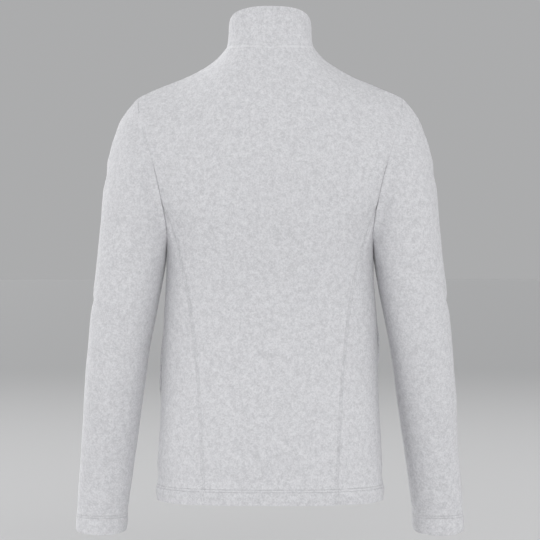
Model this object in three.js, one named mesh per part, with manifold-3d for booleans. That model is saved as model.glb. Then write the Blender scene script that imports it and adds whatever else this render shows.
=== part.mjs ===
// Fleece zip jacket in its worn shape, hollow, closed to the top of the collar.
// Millimetres. +X is the wearer's left, -Y the front, +Z up.
// The origin is between the shoulders, level with the neck seam at the centre back.

import * as THREE from 'three';
import Module from 'manifold-3d';

const wasm = await Module();
wasm.setup();

// Cloth and seams
const CLOTH = 2.2; // one layer of fleece
const TURNED = 4.2; // a turned edge or the double collar
const SEAM_PULL = 0.17; // each edge stands back this much from its seam line
const HEM_BULGE = 0.8; // a turned hem stands proud of the panel above it
const SQUARENESS = 2.5; // of the body's sections, where 2 is an ellipse
const RELAX_PASSES = 5; // evening out of the cloth between chest and shoulders

// Body form, from the hem up: half width at the side, depth of the back and of the front
const BODY = [
  { z: -672, side: 170.0, back: 104, front: 118 },
  { z: -627, side: 169.8, back: 105, front: 116 },
  { z: -592, side: 167.1, back: 103, front: 114 },
  { z: -525, side: 163.4, back: 95, front: 111 },
  { z: -471, side: 161.5, back: 89, front: 110.5 },
  { z: -420, side: 159.8, back: 85.5, front: 112 },
  { z: -375, side: 157.5, back: 85, front: 114.5 },
  { z: -345, side: 155.2, back: 87, front: 117 },
  { z: -310, side: 155.6, back: 91, front: 120 },
  { z: -297, side: 156.2, back: 93, front: 121.5 },
  { z: -268, side: 163, back: 97.5, front: 124 },
  { z: -239, side: 178, back: 101, front: 125 },
];

// Curved side-back seam, distance from the centre back
const BACK_SEAM = [
  { z: -672, x: 96.6 },
  { z: -577, x: 100.5 },
  { z: -480, x: 106.5 },
  { z: -400, x: 115 },
  { z: -345, x: 124 },
  { z: -300, x: 136 },
  { z: -262, x: 147.5 },
  { z: -239, x: 157 },
];
const SIDE_SEAM_Y = -22;
const BACK_JOIN_Z = -239; // where the side-back seam meets the armhole
const FRONT_JOIN_Z = -297; // where the side seam meets the armhole

// Heights of the rows of every body panel, from the hem up
const HEM_TOP = -650;
const ROWS = [
  -672, -668, HEM_TOP, -646, -612, -580, -548, -517, -512, -491, -470, -449,
  -430, -417, -402, -382, -361, -356, -333, -310,
];
const BACK_ROWS = [...ROWS, -286, -262, BACK_JOIN_Z];
const FRONT_ROWS = [...ROWS, FRONT_JOIN_Z];

// Armhole, from the shoulder tip down the back, under the arm and up the front
const SHOULDER_TIP = { x: 198.6, y: -5, z: -72 };
const ARMHOLE_BACK = [
  { x: 196, y: 20, z: -95 },
  { x: 188.5, y: 42, z: -125 },
  { x: 177, y: 56, z: -158 },
  { x: 165, y: 62, z: -200 },
];
const ARMHOLE_UNDER = [
  { x: 152.5, y: 42, z: -279 },
  { x: 155.6, y: 12, z: -299 },
];
const ARMHOLE_FRONT = [
  { x: 153.5, y: -46, z: -279 },
  { x: 157, y: -61, z: -240 },
  { x: 166, y: -63, z: -195 },
  { x: 180, y: -54, z: -148 },
  { x: 193, y: -32, z: -103 },
];
const ARM_SPLIT = { back: 8, under: 8, front: 8 }; // steps round the armhole

// Shoulder seam from the neck to the tip
const SHOULDER = [
  { x: 67.4, y: -8, z: 2 },
  { x: 78.6, y: -9, z: -12 },
  { x: 100.5, y: -10, z: -27 },
  { x: 123, y: -10, z: -39 },
  { x: 153.6, y: -9, z: -51 },
  { x: 180, y: -7, z: -62 },
  SHOULDER_TIP,
];

// Neck edge and collar. Angles go round from the centre back, in degrees
const NECK = { wide: 67.5, back: 65.5, front: 66.1, y: -13.5, drop: 60, square: 2.4 };
const COLLAR = { wide: 63.2, deep: 59, y: -13, z: 37, tilt: 0.407, square: 2.6 };
const COLLAR_ROWS = [0, 0.12, 0.28, 0.52, 0.76, 0.93, 1];
const COLLAR_FOLD = 0.8; // the collar's top edge is this much thinner on each side
const NECK_SIDE = 87.1;
const NECK_BACK_STEPS = 5;
const NECK_FRONT_ANGLES = [176.5, 169, 152.6, 136.2, 119.9, 103.5, NECK_SIDE];
const NECK_RUN = { // how the cloth runs up into the neck seam
  back: new THREE.Vector3(0, -112, 190),
  front: new THREE.Vector3(0, 96, 205),
};

// Front edges and zip
const EDGE_X = 6.5; // half of the gap that the zip shows in
const TURN_X = 17; // the front edge is turned in to here
const ZIP_HALF = 3; // half width of a closed chain
const TAPE_START = 3.3;
const TAPE_THICK = 0.8;
const FRONT_ZIP = { chainTop: 2.3, chainThick: 2.7, tapeTop: TURNED + 0.3, plate: 9 };
const BOX = { tall: 11, wide: 11, deep: 3.6 };

// Hand pockets in the side seam. The mouth stands off the body in soft waves, its back
// edge less than its front edge, so it gapes a little towards the back
const POCKET = { top: -361, bottom: -512, gap: 0.9, spread: 15, backShare: 0.45 };
const POCKET_WAVES = [
  { z: -535, left: 0, right: 0 },
  { z: -512, left: 4.6, right: 0.6 },
  { z: -491, left: 6.2, right: 0.6 },
  { z: -470, left: 5.2, right: 2.6 },
  { z: -449, left: 4.4, right: 6.2 },
  { z: -430, left: 3.4, right: 6.4 },
  { z: -417, left: 1.4, right: 4.2 },
  { z: -402, left: 1.8, right: 3.0 },
  { z: -382, left: 2.2, right: 2.8 },
  { z: -361, left: 1.6, right: 2.4 },
  { z: -335, left: 0, right: 0 },
];
const BAG = { depth: 6.6, thick: 1.2, columns: 7, top: -333, bottom: -580 };

// Sleeve: inner and outer edge by height, and the sections from the cuff up
const SLEEVE_EDGE = [
  { z: -736, inner: 219.4, outer: 294.4 },
  { z: -717, inner: 218.3, outer: 293.9 },
  { z: -667, inner: 212.2, outer: 291.8 },
  { z: -593, inner: 200.7, outer: 284.5 },
  { z: -519.5, inner: 190.2, outer: 280.2 },
  { z: -447, inner: 180.1, outer: 273.9 },
  { z: -375, inner: 165.1, outer: 266.9 },
  { z: -339, inner: 158.9, outer: 262.5 },
  { z: -320, inner: 153.5, outer: 259.8 },
  { z: -292, inner: 150, outer: 257 },
];
const SLEEVE = [
  { z: -724, y: -45, deep: 35.5, tilt: 0, lean: 6, bulge: 0.3, thick: TURNED },
  { z: -720, y: -44.6, deep: 35.7, tilt: 0, lean: 6, bulge: HEM_BULGE, thick: TURNED },
  { z: -702, y: -42.4, deep: 36.5, tilt: 0, lean: 6, bulge: HEM_BULGE, thick: TURNED },
  { z: -698, y: -41.9, deep: 36.8, tilt: 0, lean: 6, bulge: 0, thick: CLOTH },
  { z: -667, y: -36.5, deep: 38.8, tilt: 0, lean: 7, bulge: 0, thick: CLOTH },
  { z: -630, y: -29.5, deep: 41.6, tilt: 0, lean: 8, bulge: 0, thick: CLOTH },
  { z: -593, y: -22, deep: 44.6, tilt: 0, lean: 8, bulge: 0, thick: CLOTH },
  { z: -556, y: -14.8, deep: 47.8, tilt: 1, lean: 8, bulge: 0, thick: CLOTH },
  { z: -519, y: -8.5, deep: 51, tilt: 2, lean: 7, bulge: 0, thick: CLOTH },
  { z: -483, y: -3.4, deep: 53.6, tilt: 3, lean: 5, bulge: 0, thick: CLOTH },
  { z: -447, y: 0.4, deep: 56, tilt: 4, lean: 3, bulge: 0, thick: CLOTH },
  { z: -411, y: 2.8, deep: 58.4, tilt: 6, lean: 1, bulge: 0, thick: CLOTH },
  { z: -375, y: 4, deep: 60.4, tilt: 9, lean: 0, bulge: 0, thick: CLOTH },
  { z: -343, y: 4, deep: 62, tilt: 15, lean: 0, bulge: 0, thick: CLOTH },
  { z: -315, y: 3.5, deep: 63, tilt: 23, lean: 0, bulge: 0, thick: CLOTH },
];
const SLEEVE_HEAD_ROWS = 7; // rows from the armhole to the first full section
const SLEEVE_EYE = { y: -3, z: -190 }; // middle of the armhole, which its turns go round
const HEAD_WAY = { x: 0.75, y: 0.45, z: -0.62, under: 1.1, short: 0.8 }; // out of the armhole
const ARM_CLEARANCE = 1.7; // from the body where the sleeve hugs it

// Zip slider and pull tab, in their own frame: x across, y into the cloth, z up
const SLIDER = { tall: 11, plate: 1.2, web: 2.2, archTall: 6.2, archOut: 3.3, wall: 1.3 };
const PULL = { long: 27, wide: 6.6, thick: 1.2, hole: 3.8, slot: 3.9, bar: 1.2 };

const MARL = new THREE.Color(0xcfcfd2);
const TAPE_GREY = new THREE.Color(0xb9babd);
const METAL_GREY = new THREE.Color(0xa8aaad);

const v3 = (x, y, z) => new THREE.Vector3(x, y, z);
const asVector = (row) => v3(row.x, row.y, row.z);
const power = (value, exponent) => Math.sign(value) * Math.abs(value) ** exponent;
const ease = (t) => t * t * (3 - 2 * t);

// Values between table rows

function cubic(start, startSlope, end, endSlope, t) {
  const square = t * t;
  const cube = square * t;
  return (
    start * (2 * cube - 3 * square + 1) +
    startSlope * (cube - 2 * square + t) +
    end * (3 * square - 2 * cube) +
    endSlope * (cube - square)
  );
}

function cubicPoint(start, startSlope, end, endSlope, t) {
  return v3(
    cubic(start.x, startSlope.x, end.x, endSlope.x, t),
    cubic(start.y, startSlope.y, end.y, endSlope.y, t),
    cubic(start.z, startSlope.z, end.z, endSlope.z, t),
  );
}

function read(table, column, z) {
  const last = table.length - 1;
  let low = 0;
  while (low < last - 1 && table[low + 1].z < z) low += 1;
  const slope = (k) => {
    const before = table[Math.max(k - 1, 0)];
    const after = table[Math.min(k + 1, last)];
    return (after[column] - before[column]) / (after.z - before.z);
  };
  const span = table[low + 1].z - table[low].z;
  const t = Math.min(Math.max((z - table[low].z) / span, 0), 1);
  return cubic(table[low][column], slope(low) * span,
    table[low + 1][column], slope(low + 1) * span, t);
}

// Body sections. A turn of 0 is the centre back, a quarter the side, a half the centre front

function sectionPoint(z, turn) {
  const depth = read(BODY, turn <= Math.PI / 2 ? 'back' : 'front', z);
  return v3(
    read(BODY, 'side', z) * power(Math.sin(turn), 2 / SQUARENESS),
    depth * power(Math.cos(turn), 2 / SQUARENESS),
    z,
  );
}

function turnAtX(z, x) {
  return Math.asin(Math.min((x / read(BODY, 'side', z)) ** (SQUARENESS / 2), 1));
}

function sideSeamTurn(z) {
  const share = Math.abs(SIDE_SEAM_Y) / read(BODY, 'front', z);
  return Math.PI - Math.acos(share ** (SQUARENESS / 2));
}

const backSeamTurn = (z) => turnAtX(z, read(BACK_SEAM, 'x', z));

function depthSlope(z, x, face) {
  const at = (height) => {
    const share = Math.min(x / read(BODY, 'side', height), 1);
    return read(BODY, face, height) * (1 - share ** SQUARENESS) ** (1 / SQUARENESS);
  };
  return Math.min(Math.max(at(z + 1) - at(z - 1), -1), 1) / 2;
}

function outward(point) {
  const side = read(BODY, 'side', point.z);
  const depth = read(BODY, point.y > 0 ? 'back' : 'front', point.z);
  const slope = SQUARENESS - 1;
  return v3(
    power(point.x, slope) / side ** SQUARENESS,
    power(point.y, slope) / depth ** SQUARENESS,
    0,
  ).normalize();
}

// Pocket mouth: the cloth near the side seam stands off the body
const inMouth = (z) => z >= POCKET.bottom && z <= POCKET.top;

function withMouth(point, wearerSide, share = 1) {
  const seam = sectionPoint(point.z, sideSeamTurn(point.z));
  const far = point.distanceTo(seam) / POCKET.spread;
  if (far > 3 || point.z < POCKET_WAVES[0].z || point.z > POCKET_WAVES.at(-1).z) return point;
  const height = read(POCKET_WAVES, wearerSide, point.z) * Math.exp(-far * far);
  return point.addScaledVector(outward(point), height * share);
}

// Armhole, as three runs of evenly spaced points

function evenly(points, steps) {
  const reach = [0];
  for (let i = 1; i < points.length; i += 1) {
    reach.push(reach[i - 1] + points[i].distanceTo(points[i - 1]));
  }
  const out = [points[0]];
  for (let k = 1; k < steps; k += 1) {
    const target = (reach.at(-1) * k) / steps;
    let i = 1;
    while (reach[i] < target) i += 1;
    const t = (target - reach[i - 1]) / (reach[i] - reach[i - 1]);
    out.push(points[i - 1].clone().lerp(points[i], t));
  }
  return [...out, points.at(-1)];
}

function armholeRuns() {
  const backJoin = sectionPoint(BACK_JOIN_Z, backSeamTurn(BACK_JOIN_Z));
  const frontJoin = sectionPoint(FRONT_JOIN_Z, sideSeamTurn(FRONT_JOIN_Z));
  const knots = [
    asVector(SHOULDER_TIP), ...ARMHOLE_BACK.map(asVector), backJoin,
    ...ARMHOLE_UNDER.map(asVector), frontJoin, ...ARMHOLE_FRONT.map(asVector),
  ];
  const curve = new THREE.CatmullRomCurve3(knots, true, 'centripetal');
  const fine = 24; // points between two knots
  const run = (from, to, steps) => {
    const points = [];
    for (let i = from * fine; i <= to * fine; i += 1) {
      points.push(curve.getPoint(i / fine / knots.length));
    }
    return evenly(points, steps);
  };
  const backKnot = ARMHOLE_BACK.length + 1;
  const frontKnot = backKnot + ARMHOLE_UNDER.length + 1;
  return {
    back: run(0, backKnot, ARM_SPLIT.back),
    under: run(backKnot, frontKnot, ARM_SPLIT.under),
    front: run(frontKnot, knots.length, ARM_SPLIT.front),
  };
}
const armhole = armholeRuns();

// Neck edge and collar edge

function neckPoint(degrees) {
  const turn = THREE.MathUtils.degToRad(degrees);
  const round = 2 / NECK.square;
  const depth = Math.cos(turn) > 0 ? NECK.back : NECK.front;
  const y = NECK.y + depth * power(Math.cos(turn), round);
  const x = NECK.wide * power(Math.sin(turn), round);
  const side = SHOULDER[0];
  if (y >= side.y) return v3(x, y, side.z * Math.sin(turn) ** 2);
  const forward = (side.y - y) / (side.y - NECK.y + NECK.front);
  return v3(x, y, side.z - NECK.drop * forward ** 1.3);
}

function collarTop(degrees) {
  const turn = THREE.MathUtils.degToRad(degrees);
  const round = 2 / COLLAR.square;
  const along = COLLAR.deep * power(Math.cos(turn), round);
  const x = COLLAR.wide * power(Math.sin(turn), round);
  return v3(x, COLLAR.y + along, COLLAR.z + COLLAR.tilt * along);
}

const backNeckAngles = Array.from(
  { length: NECK_BACK_STEPS + 1 }, (_, k) => (NECK_SIDE * k) / NECK_BACK_STEPS);
const backEdge = [...backNeckAngles.map(neckPoint), ...SHOULDER.slice(1).map(asVector)];
const frontEdge = [...NECK_FRONT_ANGLES.map(neckPoint), ...SHOULDER.slice(1).map(asVector)];
backEdge[NECK_BACK_STEPS].copy(asVector(SHOULDER[0]));
frontEdge[NECK_FRONT_ANGLES.length - 1].copy(asVector(SHOULDER[0]));
frontEdge[0].x = EDGE_X;
frontEdge[1].x = TURN_X;

// The upper part of a panel: columns from a level row to the neck and shoulder.
// The last column is the armhole itself, and the others follow its shape less and less.
const FULLNESS = 1.42;
const ARM_SHARE = 2.6;

function upperColumns({ base, edge, arm, face, neckSteps, neckArrive }) {
  const steps = arm.length - 1;
  const last = edge.length - 1;
  const ownLast = [];
  const columns = edge.map((top, k) => {
    const start = base[k];
    const rise = top.z - start.z;
    const across = top.x - start.x;
    const inward = top.y - start.y;
    const onShoulder = ease(Math.min(k / neckSteps, 1));
    const full = 1 + (FULLNESS - 1) * onShoulder;
    const leave = v3(across, depthSlope(start.z, start.x, face) * rise * full
      * (face === 'back' ? 1 : -1), rise * full);
    const arrive = v3(across, inward * FULLNESS, 0).multiplyScalar(onShoulder)
      .addScaledVector(v3(across, neckArrive.y, neckArrive.z), 1 - onShoulder);
    return Array.from({ length: steps + 1 }, (_, i) =>
      cubicPoint(start, leave, top, arrive, i / steps));
  });
  columns[last].forEach((point, i) => ownLast.push(arm[i].clone().sub(point)));
  columns.forEach((column, k) => {
    const share = (k / last) ** ARM_SHARE;
    column.forEach((point, i) => point.addScaledVector(ownLast[i], share));
  });
  return columns;
}

const inRows = (columns) => columns[0].map((_, i) => columns.map((column) => column[i]));

// Panels of one half, each a grid of rows from the hem up and columns anticlockwise from above

function backHalf() {
  const count = backEdge.length;
  const rowAt = (z) => backEdge.map((_, k) =>
    sectionPoint(z, (backSeamTurn(z) * k) / (count - 1)));
  const lower = BACK_ROWS.map(rowAt);
  const upper = inRows(upperColumns({
    base: lower.at(-1), edge: backEdge, arm: [...armhole.back].reverse(), face: 'back',
    neckSteps: NECK_BACK_STEPS, neckArrive: NECK_RUN.back,
  }));
  return [...lower, ...upper.slice(1)].map((row) => row.reverse());
}

function frontHalf(wearerSide) {
  const count = frontEdge.length;
  const rowAt = (z) => {
    const edge = turnAtX(z, EDGE_X);
    const turned = turnAtX(z, TURN_X);
    const seam = Math.PI - sideSeamTurn(z);
    return frontEdge.map((_, k) => {
      const turn = k === 0 ? edge : turned + ((seam - turned) * (k - 1)) / (count - 2);
      return withMouth(sectionPoint(z, Math.PI - turn), wearerSide);
    });
  };
  const lower = FRONT_ROWS.map(rowAt);
  const upper = inRows(upperColumns({
    base: lower.at(-1), edge: frontEdge, arm: armhole.front, face: 'front',
    neckSteps: NECK_FRONT_ANGLES.length - 1, neckArrive: NECK_RUN.front,
  }));
  return [...lower, ...upper.slice(1)];
}

function sideHalf(wearerSide) {
  const count = ARM_SPLIT.under + 1;
  const lower = ROWS.map((z) => Array.from({ length: count }, (_, k) => {
    const front = sideSeamTurn(z);
    const turn = front + ((backSeamTurn(z) - front) * k) / (count - 1);
    return withMouth(sectionPoint(z, turn), wearerSide, inMouth(z) ? POCKET.backShare : 1);
  }));
  const base = lower.at(-1);
  const arc = [...armhole.under].reverse();
  const steps = BACK_ROWS.length - ROWS.length;
  for (let i = 1; i <= steps; i += 1) {
    lower.push(base.map((start, k) => {
      if (k === count - 1) {
        const z = BACK_ROWS[ROWS.length - 1 + i];
        return sectionPoint(z, backSeamTurn(z));
      }
      return start.clone().lerp(arc[k], i / steps);
    }));
  }
  return lower;
}

function sleeveHalf() {
  const loop = [
    ...armhole.back.slice(0, -1), ...armhole.under.slice(0, -1), ...armhole.front.slice(0, -1),
  ];
  const turns = loop.map((point, k) => {
    const turn = Math.atan2(point.y - SLEEVE_EYE.y, point.z - SLEEVE_EYE.z);
    return k > 0 && turn < 0 ? turn + 2 * Math.PI : turn;
  });
  const ring = (row) => turns.map((turn) => {
    const outer = read(SLEEVE_EDGE, 'outer', row.z + row.tilt);
    const inner = read(SLEEVE_EDGE, 'inner', row.z - row.tilt);
    const wide = (outer - inner) / 2 + row.bulge;
    return v3(
      (outer + inner) / 2 + wide * Math.cos(turn),
      row.y + (row.deep + row.bulge) * Math.sin(turn),
      row.z + row.tilt * Math.cos(turn) - row.lean * Math.sin(turn),
    );
  });
  const rings = SLEEVE.map(ring);
  const first = rings.at(-1);
  const below = rings.at(-2);
  const head = [];
  for (let i = 1; i < SLEEVE_HEAD_ROWS; i += 1) {
    head.push(loop.map((edge, k) => {
      const t = 1 - i / SLEEVE_HEAD_ROWS;
      const span = edge.distanceTo(first[k]);
      const away = first[k].clone().sub(below[k]).normalize().multiplyScalar(-span);
      const under = ease(Math.min(Math.max((-Math.cos(turns[k]) - 0.2) / 0.8, 0), 1));
      const out = v3(HEAD_WAY.x, HEAD_WAY.y * Math.sin(turns[k]),
        HEAD_WAY.z + HEAD_WAY.under * under).normalize();
      const leave = out.multiplyScalar(span * (1 - HEAD_WAY.short * under));
      return cubicPoint(edge, leave, first[k], away, t);
    }));
  }
  return [...rings, ...head, loop].map((row, i, all) =>
    (i === all.length - 1 ? row : row.map(clearOfBody)));
}

// Moves a sleeve point off the side of the body where the two hug
function clearOfBody(point) {
  if (point.z > BACK_JOIN_Z) return point;
  const depth = read(BODY, point.y > 0 ? 'back' : 'front', point.z);
  const share = Math.min(Math.abs(point.y) / depth, 1);
  const side = Math.min(read(BODY, 'side', Math.min(point.z, FRONT_JOIN_Z)), 157.5);
  const surface = side * (1 - share ** SQUARENESS) ** (1 / SQUARENESS);
  return point.setX(Math.max(point.x, surface + ARM_CLEARANCE));
}

function collarGrid() {
  const angles = [...NECK_FRONT_ANGLES, ...backNeckAngles.slice(0, -1).reverse()];
  const base = [...frontEdge.slice(0, NECK_FRONT_ANGLES.length),
    ...backEdge.slice(0, NECK_BACK_STEPS).reverse()];
  const half = COLLAR_ROWS.map((t) => base.map((start, k) => {
    const top = collarTop(angles[k]);
    const settle = 1 - (1 - t) ** 4;
    const point = v3(
      start.x + (top.x - start.x) * settle,
      start.y + (top.y - start.y) * settle,
      start.z + (top.z - start.z) * t,
    );
    if (k < 2) point.setX(start.x);
    return point;
  }));
  return half.map((row) => [...row, ...mirrorRow(row).slice(1)]);
}

const mirrorRow = (row) => row.map((point) => v3(-point.x, point.y, point.z)).reverse();
const mirror = (grid) => grid.map(mirrorRow);

// Turned edges: thickness and how far the outside stands proud, by place in the panel
const isHem = (z) => z <= HEM_TOP;

function panelThickness(z, column, turnedColumn) {
  return isHem(z) || column === turnedColumn ? TURNED : CLOTH;
}

// Evens out the upper part of a panel between its edges, as cloth does over shoulders
function relaxed(grid) {
  const from = ROWS.length - 1;
  for (let pass = 0; pass < RELAX_PASSES; pass += 1) {
    const before = grid.map((row) => row.map((point) => point.clone()));
    for (let i = from; i < grid.length - 1; i += 1) {
      for (let j = 1; j < grid[0].length - 1; j += 1) {
        const mean = before[i - 1][j].clone().add(before[i + 1][j])
          .add(before[i][j - 1]).add(before[i][j + 1]).multiplyScalar(0.25);
        grid[i][j].lerp(mean, 0.5);
      }
    }
  }
  return grid;
}

// Columns of the front panels at the centre front and at the side seam
const FRONT_COLUMNS = {
  left: { centre: 0, seam: frontEdge.length - 1 },
  right: { centre: frontEdge.length - 1, seam: 0 },
};
const SIDE_SEAM_COLUMN = { left: 0, right: ARM_SPLIT.under }; // of the side panels

// Every panel's outer points, closed round or not
const backLeft = backHalf();
const panels = {
  back_panel: { grid: relaxed(backLeft.map((row) => [...row, ...mirrorRow(row).slice(1)])) },
  collar: { grid: collarGrid() },
};
for (const side of ['left', 'right']) {
  const placed = side === 'left' ? (grid) => grid : mirror;
  panels[`front_${side}`] = { grid: placed(relaxed(frontHalf(side))) };
  panels[`side_panel_${side}`] = { grid: placed(sideHalf(side)) };
  panels[`sleeve_${side}`] = { grid: placed(sleeveHalf()), round: true };
}

// Seams share their normals, so that walls on both sides of a seam stay parallel
const keyOf = (p) => `${Math.round(p.x * 50)},${Math.round(p.y * 50)},${Math.round(p.z * 50)}`;
const normals = new Map();

function addFace(a, b, c) {
  const face = b.clone().sub(a).cross(c.clone().sub(a));
  if (face.lengthSq() < 1e-10) return;
  face.normalize();
  for (const point of [a, b, c]) {
    const key = keyOf(point);
    if (!normals.has(key)) normals.set(key, v3(0, 0, 0));
    normals.get(key).add(face);
  }
}

for (const { grid, round } of Object.values(panels)) {
  const width = grid[0].length;
  for (let i = 0; i + 1 < grid.length; i += 1) {
    for (let j = 0; j < (round ? width : width - 1); j += 1) {
      const next = (j + 1) % width;
      addFace(grid[i][j], grid[i][next], grid[i + 1][next]);
      addFace(grid[i][j], grid[i + 1][next], grid[i + 1][j]);
    }
  }
}
const normalAt = (point) => normals.get(keyOf(point)).clone().normalize();

// The side panel has rows of its own between the last full row and the side seam's top,
// and there its edge follows the front panel's straight edge
for (const side of ['left', 'right']) {
  const { grid } = panels[`side_panel_${side}`];
  const column = SIDE_SEAM_COLUMN[side];
  const low = normalAt(grid[ROWS.length - 1][column]);
  const high = normalAt(grid.at(-1)[column]);
  for (let i = ROWS.length; i < grid.length - 1; i += 1) {
    const t = (i - ROWS.length + 1) / (grid.length - ROWS.length);
    normals.set(keyOf(grid[i][column]), low.clone().lerp(high, t));
  }
}

// Solids

function solid(vertices, faces) {
  const geometry = new THREE.BufferGeometry();
  const flat = vertices.flatMap((p) => [p.x, p.y, p.z]);
  geometry.setAttribute('position', new THREE.Float32BufferAttribute(flat, 3));
  geometry.setIndex(faces.flat());
  return geometry;
}

// A wall of cloth over a grid of outer points, with its edges closed
function wall(outer, inner, round) {
  const rows = outer.length;
  const width = outer[0].length;
  const spans = round ? width : width - 1;
  const vertices = [...outer.flat(), ...inner.flat()];
  const out = (i, j) => i * width + (j % width);
  const inn = (i, j) => rows * width + out(i, j);
  const faces = [];
  const quad = (a, b, c, d) => {
    const split = vertices[a].distanceTo(vertices[c]) <= vertices[b].distanceTo(vertices[d]);
    faces.push(...(split ? [[a, b, c], [a, c, d]] : [[a, b, d], [b, c, d]]));
  };
  for (let i = 0; i + 1 < rows; i += 1) {
    for (let j = 0; j < spans; j += 1) {
      quad(out(i, j), out(i, j + 1), out(i + 1, j + 1), out(i + 1, j));
      quad(inn(i, j), inn(i + 1, j), inn(i + 1, j + 1), inn(i, j + 1));
    }
    if (!round) {
      quad(out(i, 0), out(i + 1, 0), inn(i + 1, 0), inn(i, 0));
      quad(out(i + 1, spans), out(i, spans), inn(i, spans), inn(i + 1, spans));
    }
  }
  for (let j = 0; j < spans; j += 1) {
    quad(out(0, j + 1), out(0, j), inn(0, j), inn(0, j + 1));
    quad(out(rows - 1, j), out(rows - 1, j + 1), inn(rows - 1, j + 1), inn(rows - 1, j));
  }
  return solid(vertices, faces);
}

function moved(point, toward, far) {
  const way = toward.clone().sub(point);
  return point.clone().addScaledVector(way.normalize(), far);
}

// Outer and inner points of a panel, with its edges stood back from the seams
function panelWall({ grid, round }, { thickness, proud, pull }) {
  const rows = grid.length;
  const width = grid[0].length;
  const outer = grid.map((row, i) => row.map((point, j) => {
    let place = point.clone();
    if (!round && j === 0) place = moved(place, row[1], pull(i, 0));
    if (!round && j === width - 1) place = moved(place, row[width - 2], pull(i, j));
    if (i === 0) place = moved(place, grid[1][j], SEAM_PULL);
    if (i === rows - 1) place = moved(place, grid[rows - 2][j], SEAM_PULL);
    return place.addScaledVector(normalAt(point), proud(i, j));
  }));
  const inner = outer.map((row, i) => row.map((point, j) =>
    point.clone().addScaledVector(normalAt(grid[i][j]), -thickness(i, j) - proud(i, j))));
  return wall(outer, inner, round);
}

const group = new THREE.Group();
function add(name, geometry, colour, roughness, metalness = 0) {
  const material = new THREE.MeshStandardMaterial({ color: colour, roughness, metalness });
  const mesh = new THREE.Mesh(geometry, material);
  mesh.name = name;
  group.add(mesh);
  return mesh;
}
const addCloth = (name, geometry) => add(name, geometry, MARL, 0.95);

const hemProud = (i) => (i === 0 ? 0.2 : isHem(ROWS[i] ?? 0) ? HEM_BULGE : 0);
const mouthPull = (i) => (inMouth(ROWS[i] ?? 0) ? POCKET.gap : SEAM_PULL);
const seamPull = () => SEAM_PULL;

addCloth('back_panel', panelWall(panels.back_panel, {
  thickness: (i) => panelThickness(ROWS[i] ?? 0, -1), proud: hemProud, pull: seamPull,
}));
for (const side of ['left', 'right']) {
  const { centre, seam } = FRONT_COLUMNS[side];
  addCloth(`front_${side}`, panelWall(panels[`front_${side}`], {
    thickness: (i, j) => panelThickness(ROWS[i] ?? 0, j, centre),
    proud: hemProud,
    pull: (i, j) => (j === centre ? 0 : mouthPull(i)),
  }));
  addCloth(`side_panel_${side}`, panelWall(panels[`side_panel_${side}`], {
    thickness: (i) => panelThickness(ROWS[i] ?? 0, -1),
    proud: hemProud,
    pull: (i, j) => (j === SIDE_SEAM_COLUMN[side] ? mouthPull(i) : SEAM_PULL),
  }));
  addCloth(`sleeve_${side}`, panelWall(panels[`sleeve_${side}`], {
    thickness: (i) => SLEEVE[i]?.thick ?? CLOTH, proud: () => 0, pull: seamPull,
  }));
  addCloth(`pocket_bag_${side}`, pocketBag(side, seam));
}

// A pocket's bag lies inside the front, sewn down along its edges
function pocketBag(side, seam) {
  const front = panels[`front_${side}`].grid;
  const lateral = panels[`side_panel_${side}`].grid;
  const inward = side === 'left' ? -1 : 1;
  const bagRows = ROWS.map((z, i) => [z, i]).filter(([z]) => z >= BAG.bottom && z <= BAG.top);
  const grid = bagRows.map(([, i]) => {
    const along = Array.from({ length: BAG.columns }, (_, k) => front[i][seam + inward * (k + 1)]);
    const row = [lateral[i][SIDE_SEAM_COLUMN[side] - inward], front[i][seam], ...along];
    return side === 'left' ? row.reverse() : row;
  });
  const last = { i: grid.length - 1, j: grid[0].length - 1 };
  const sunk = (down) => grid.map((row, i) => row.map((point, j) => {
    const sewn = i === 0 || j === 0 || i === last.i || j === last.j;
    const depth = (sewn ? CLOTH + 0.3 : BAG.depth) + down;
    return point.clone().addScaledVector(normalAt(point), -depth);
  }));
  return wall(sunk(0), sunk(BAG.thick), false);
}

const collarLast = COLLAR_ROWS.length - 1;
addCloth('collar', panelWall(panels.collar, {
  thickness: (i) => (i === collarLast ? TURNED - 2 * COLLAR_FOLD : TURNED),
  proud: (i) => (i === collarLast ? -COLLAR_FOLD : 0),
  pull: () => 0,
}));

// Zips. A strip follows two neighbouring columns of a panel, under the cloth

function strip(edge, next, { from, to, depth, thick, mirrored }) {
  const at = (far, down) => edge.map((point, i) => {
    const span = point.distanceTo(next[i]);
    const normal = normalAt(point).lerp(normalAt(next[i]), Math.max(far / span, 0)).normalize();
    if (far >= 0) return moved(point, next[i], far).addScaledVector(normal, -down);
    const nearChain = v3(Math.sign(point.x) * (EDGE_X + far), point.y, point.z);
    return nearChain.addScaledVector(normal.setX(0).normalize(), -down);
  });
  const across = mirrored ? [to, from] : [from, to];
  const rowsOf = (down) => {
    const sides = across.map((far) => at(far, down));
    return sides[0].map((_, i) => sides.map((column) => column[i]));
  };
  return wall(rowsOf(depth), rowsOf(depth + thick), false);
}

function frames(points, outs) {
  return points.map((point, i) => {
    const along = points[Math.min(i + 1, points.length - 1)].clone()
      .sub(points[Math.max(i - 1, 0)]).normalize();
    const across = along.clone().cross(outs[i]).normalize();
    return { point, along, across, out: outs[i] };
  });
}

function chain(path, zip) {
  const rowsOf = (down) => path.map(({ point, across, out }) => [-ZIP_HALF, ZIP_HALF].map(
    (far) => point.clone().addScaledVector(across, far).addScaledVector(out, -down)));
  return wall(rowsOf(zip.chainTop), rowsOf(zip.chainTop + zip.chainThick), false);
}

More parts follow.
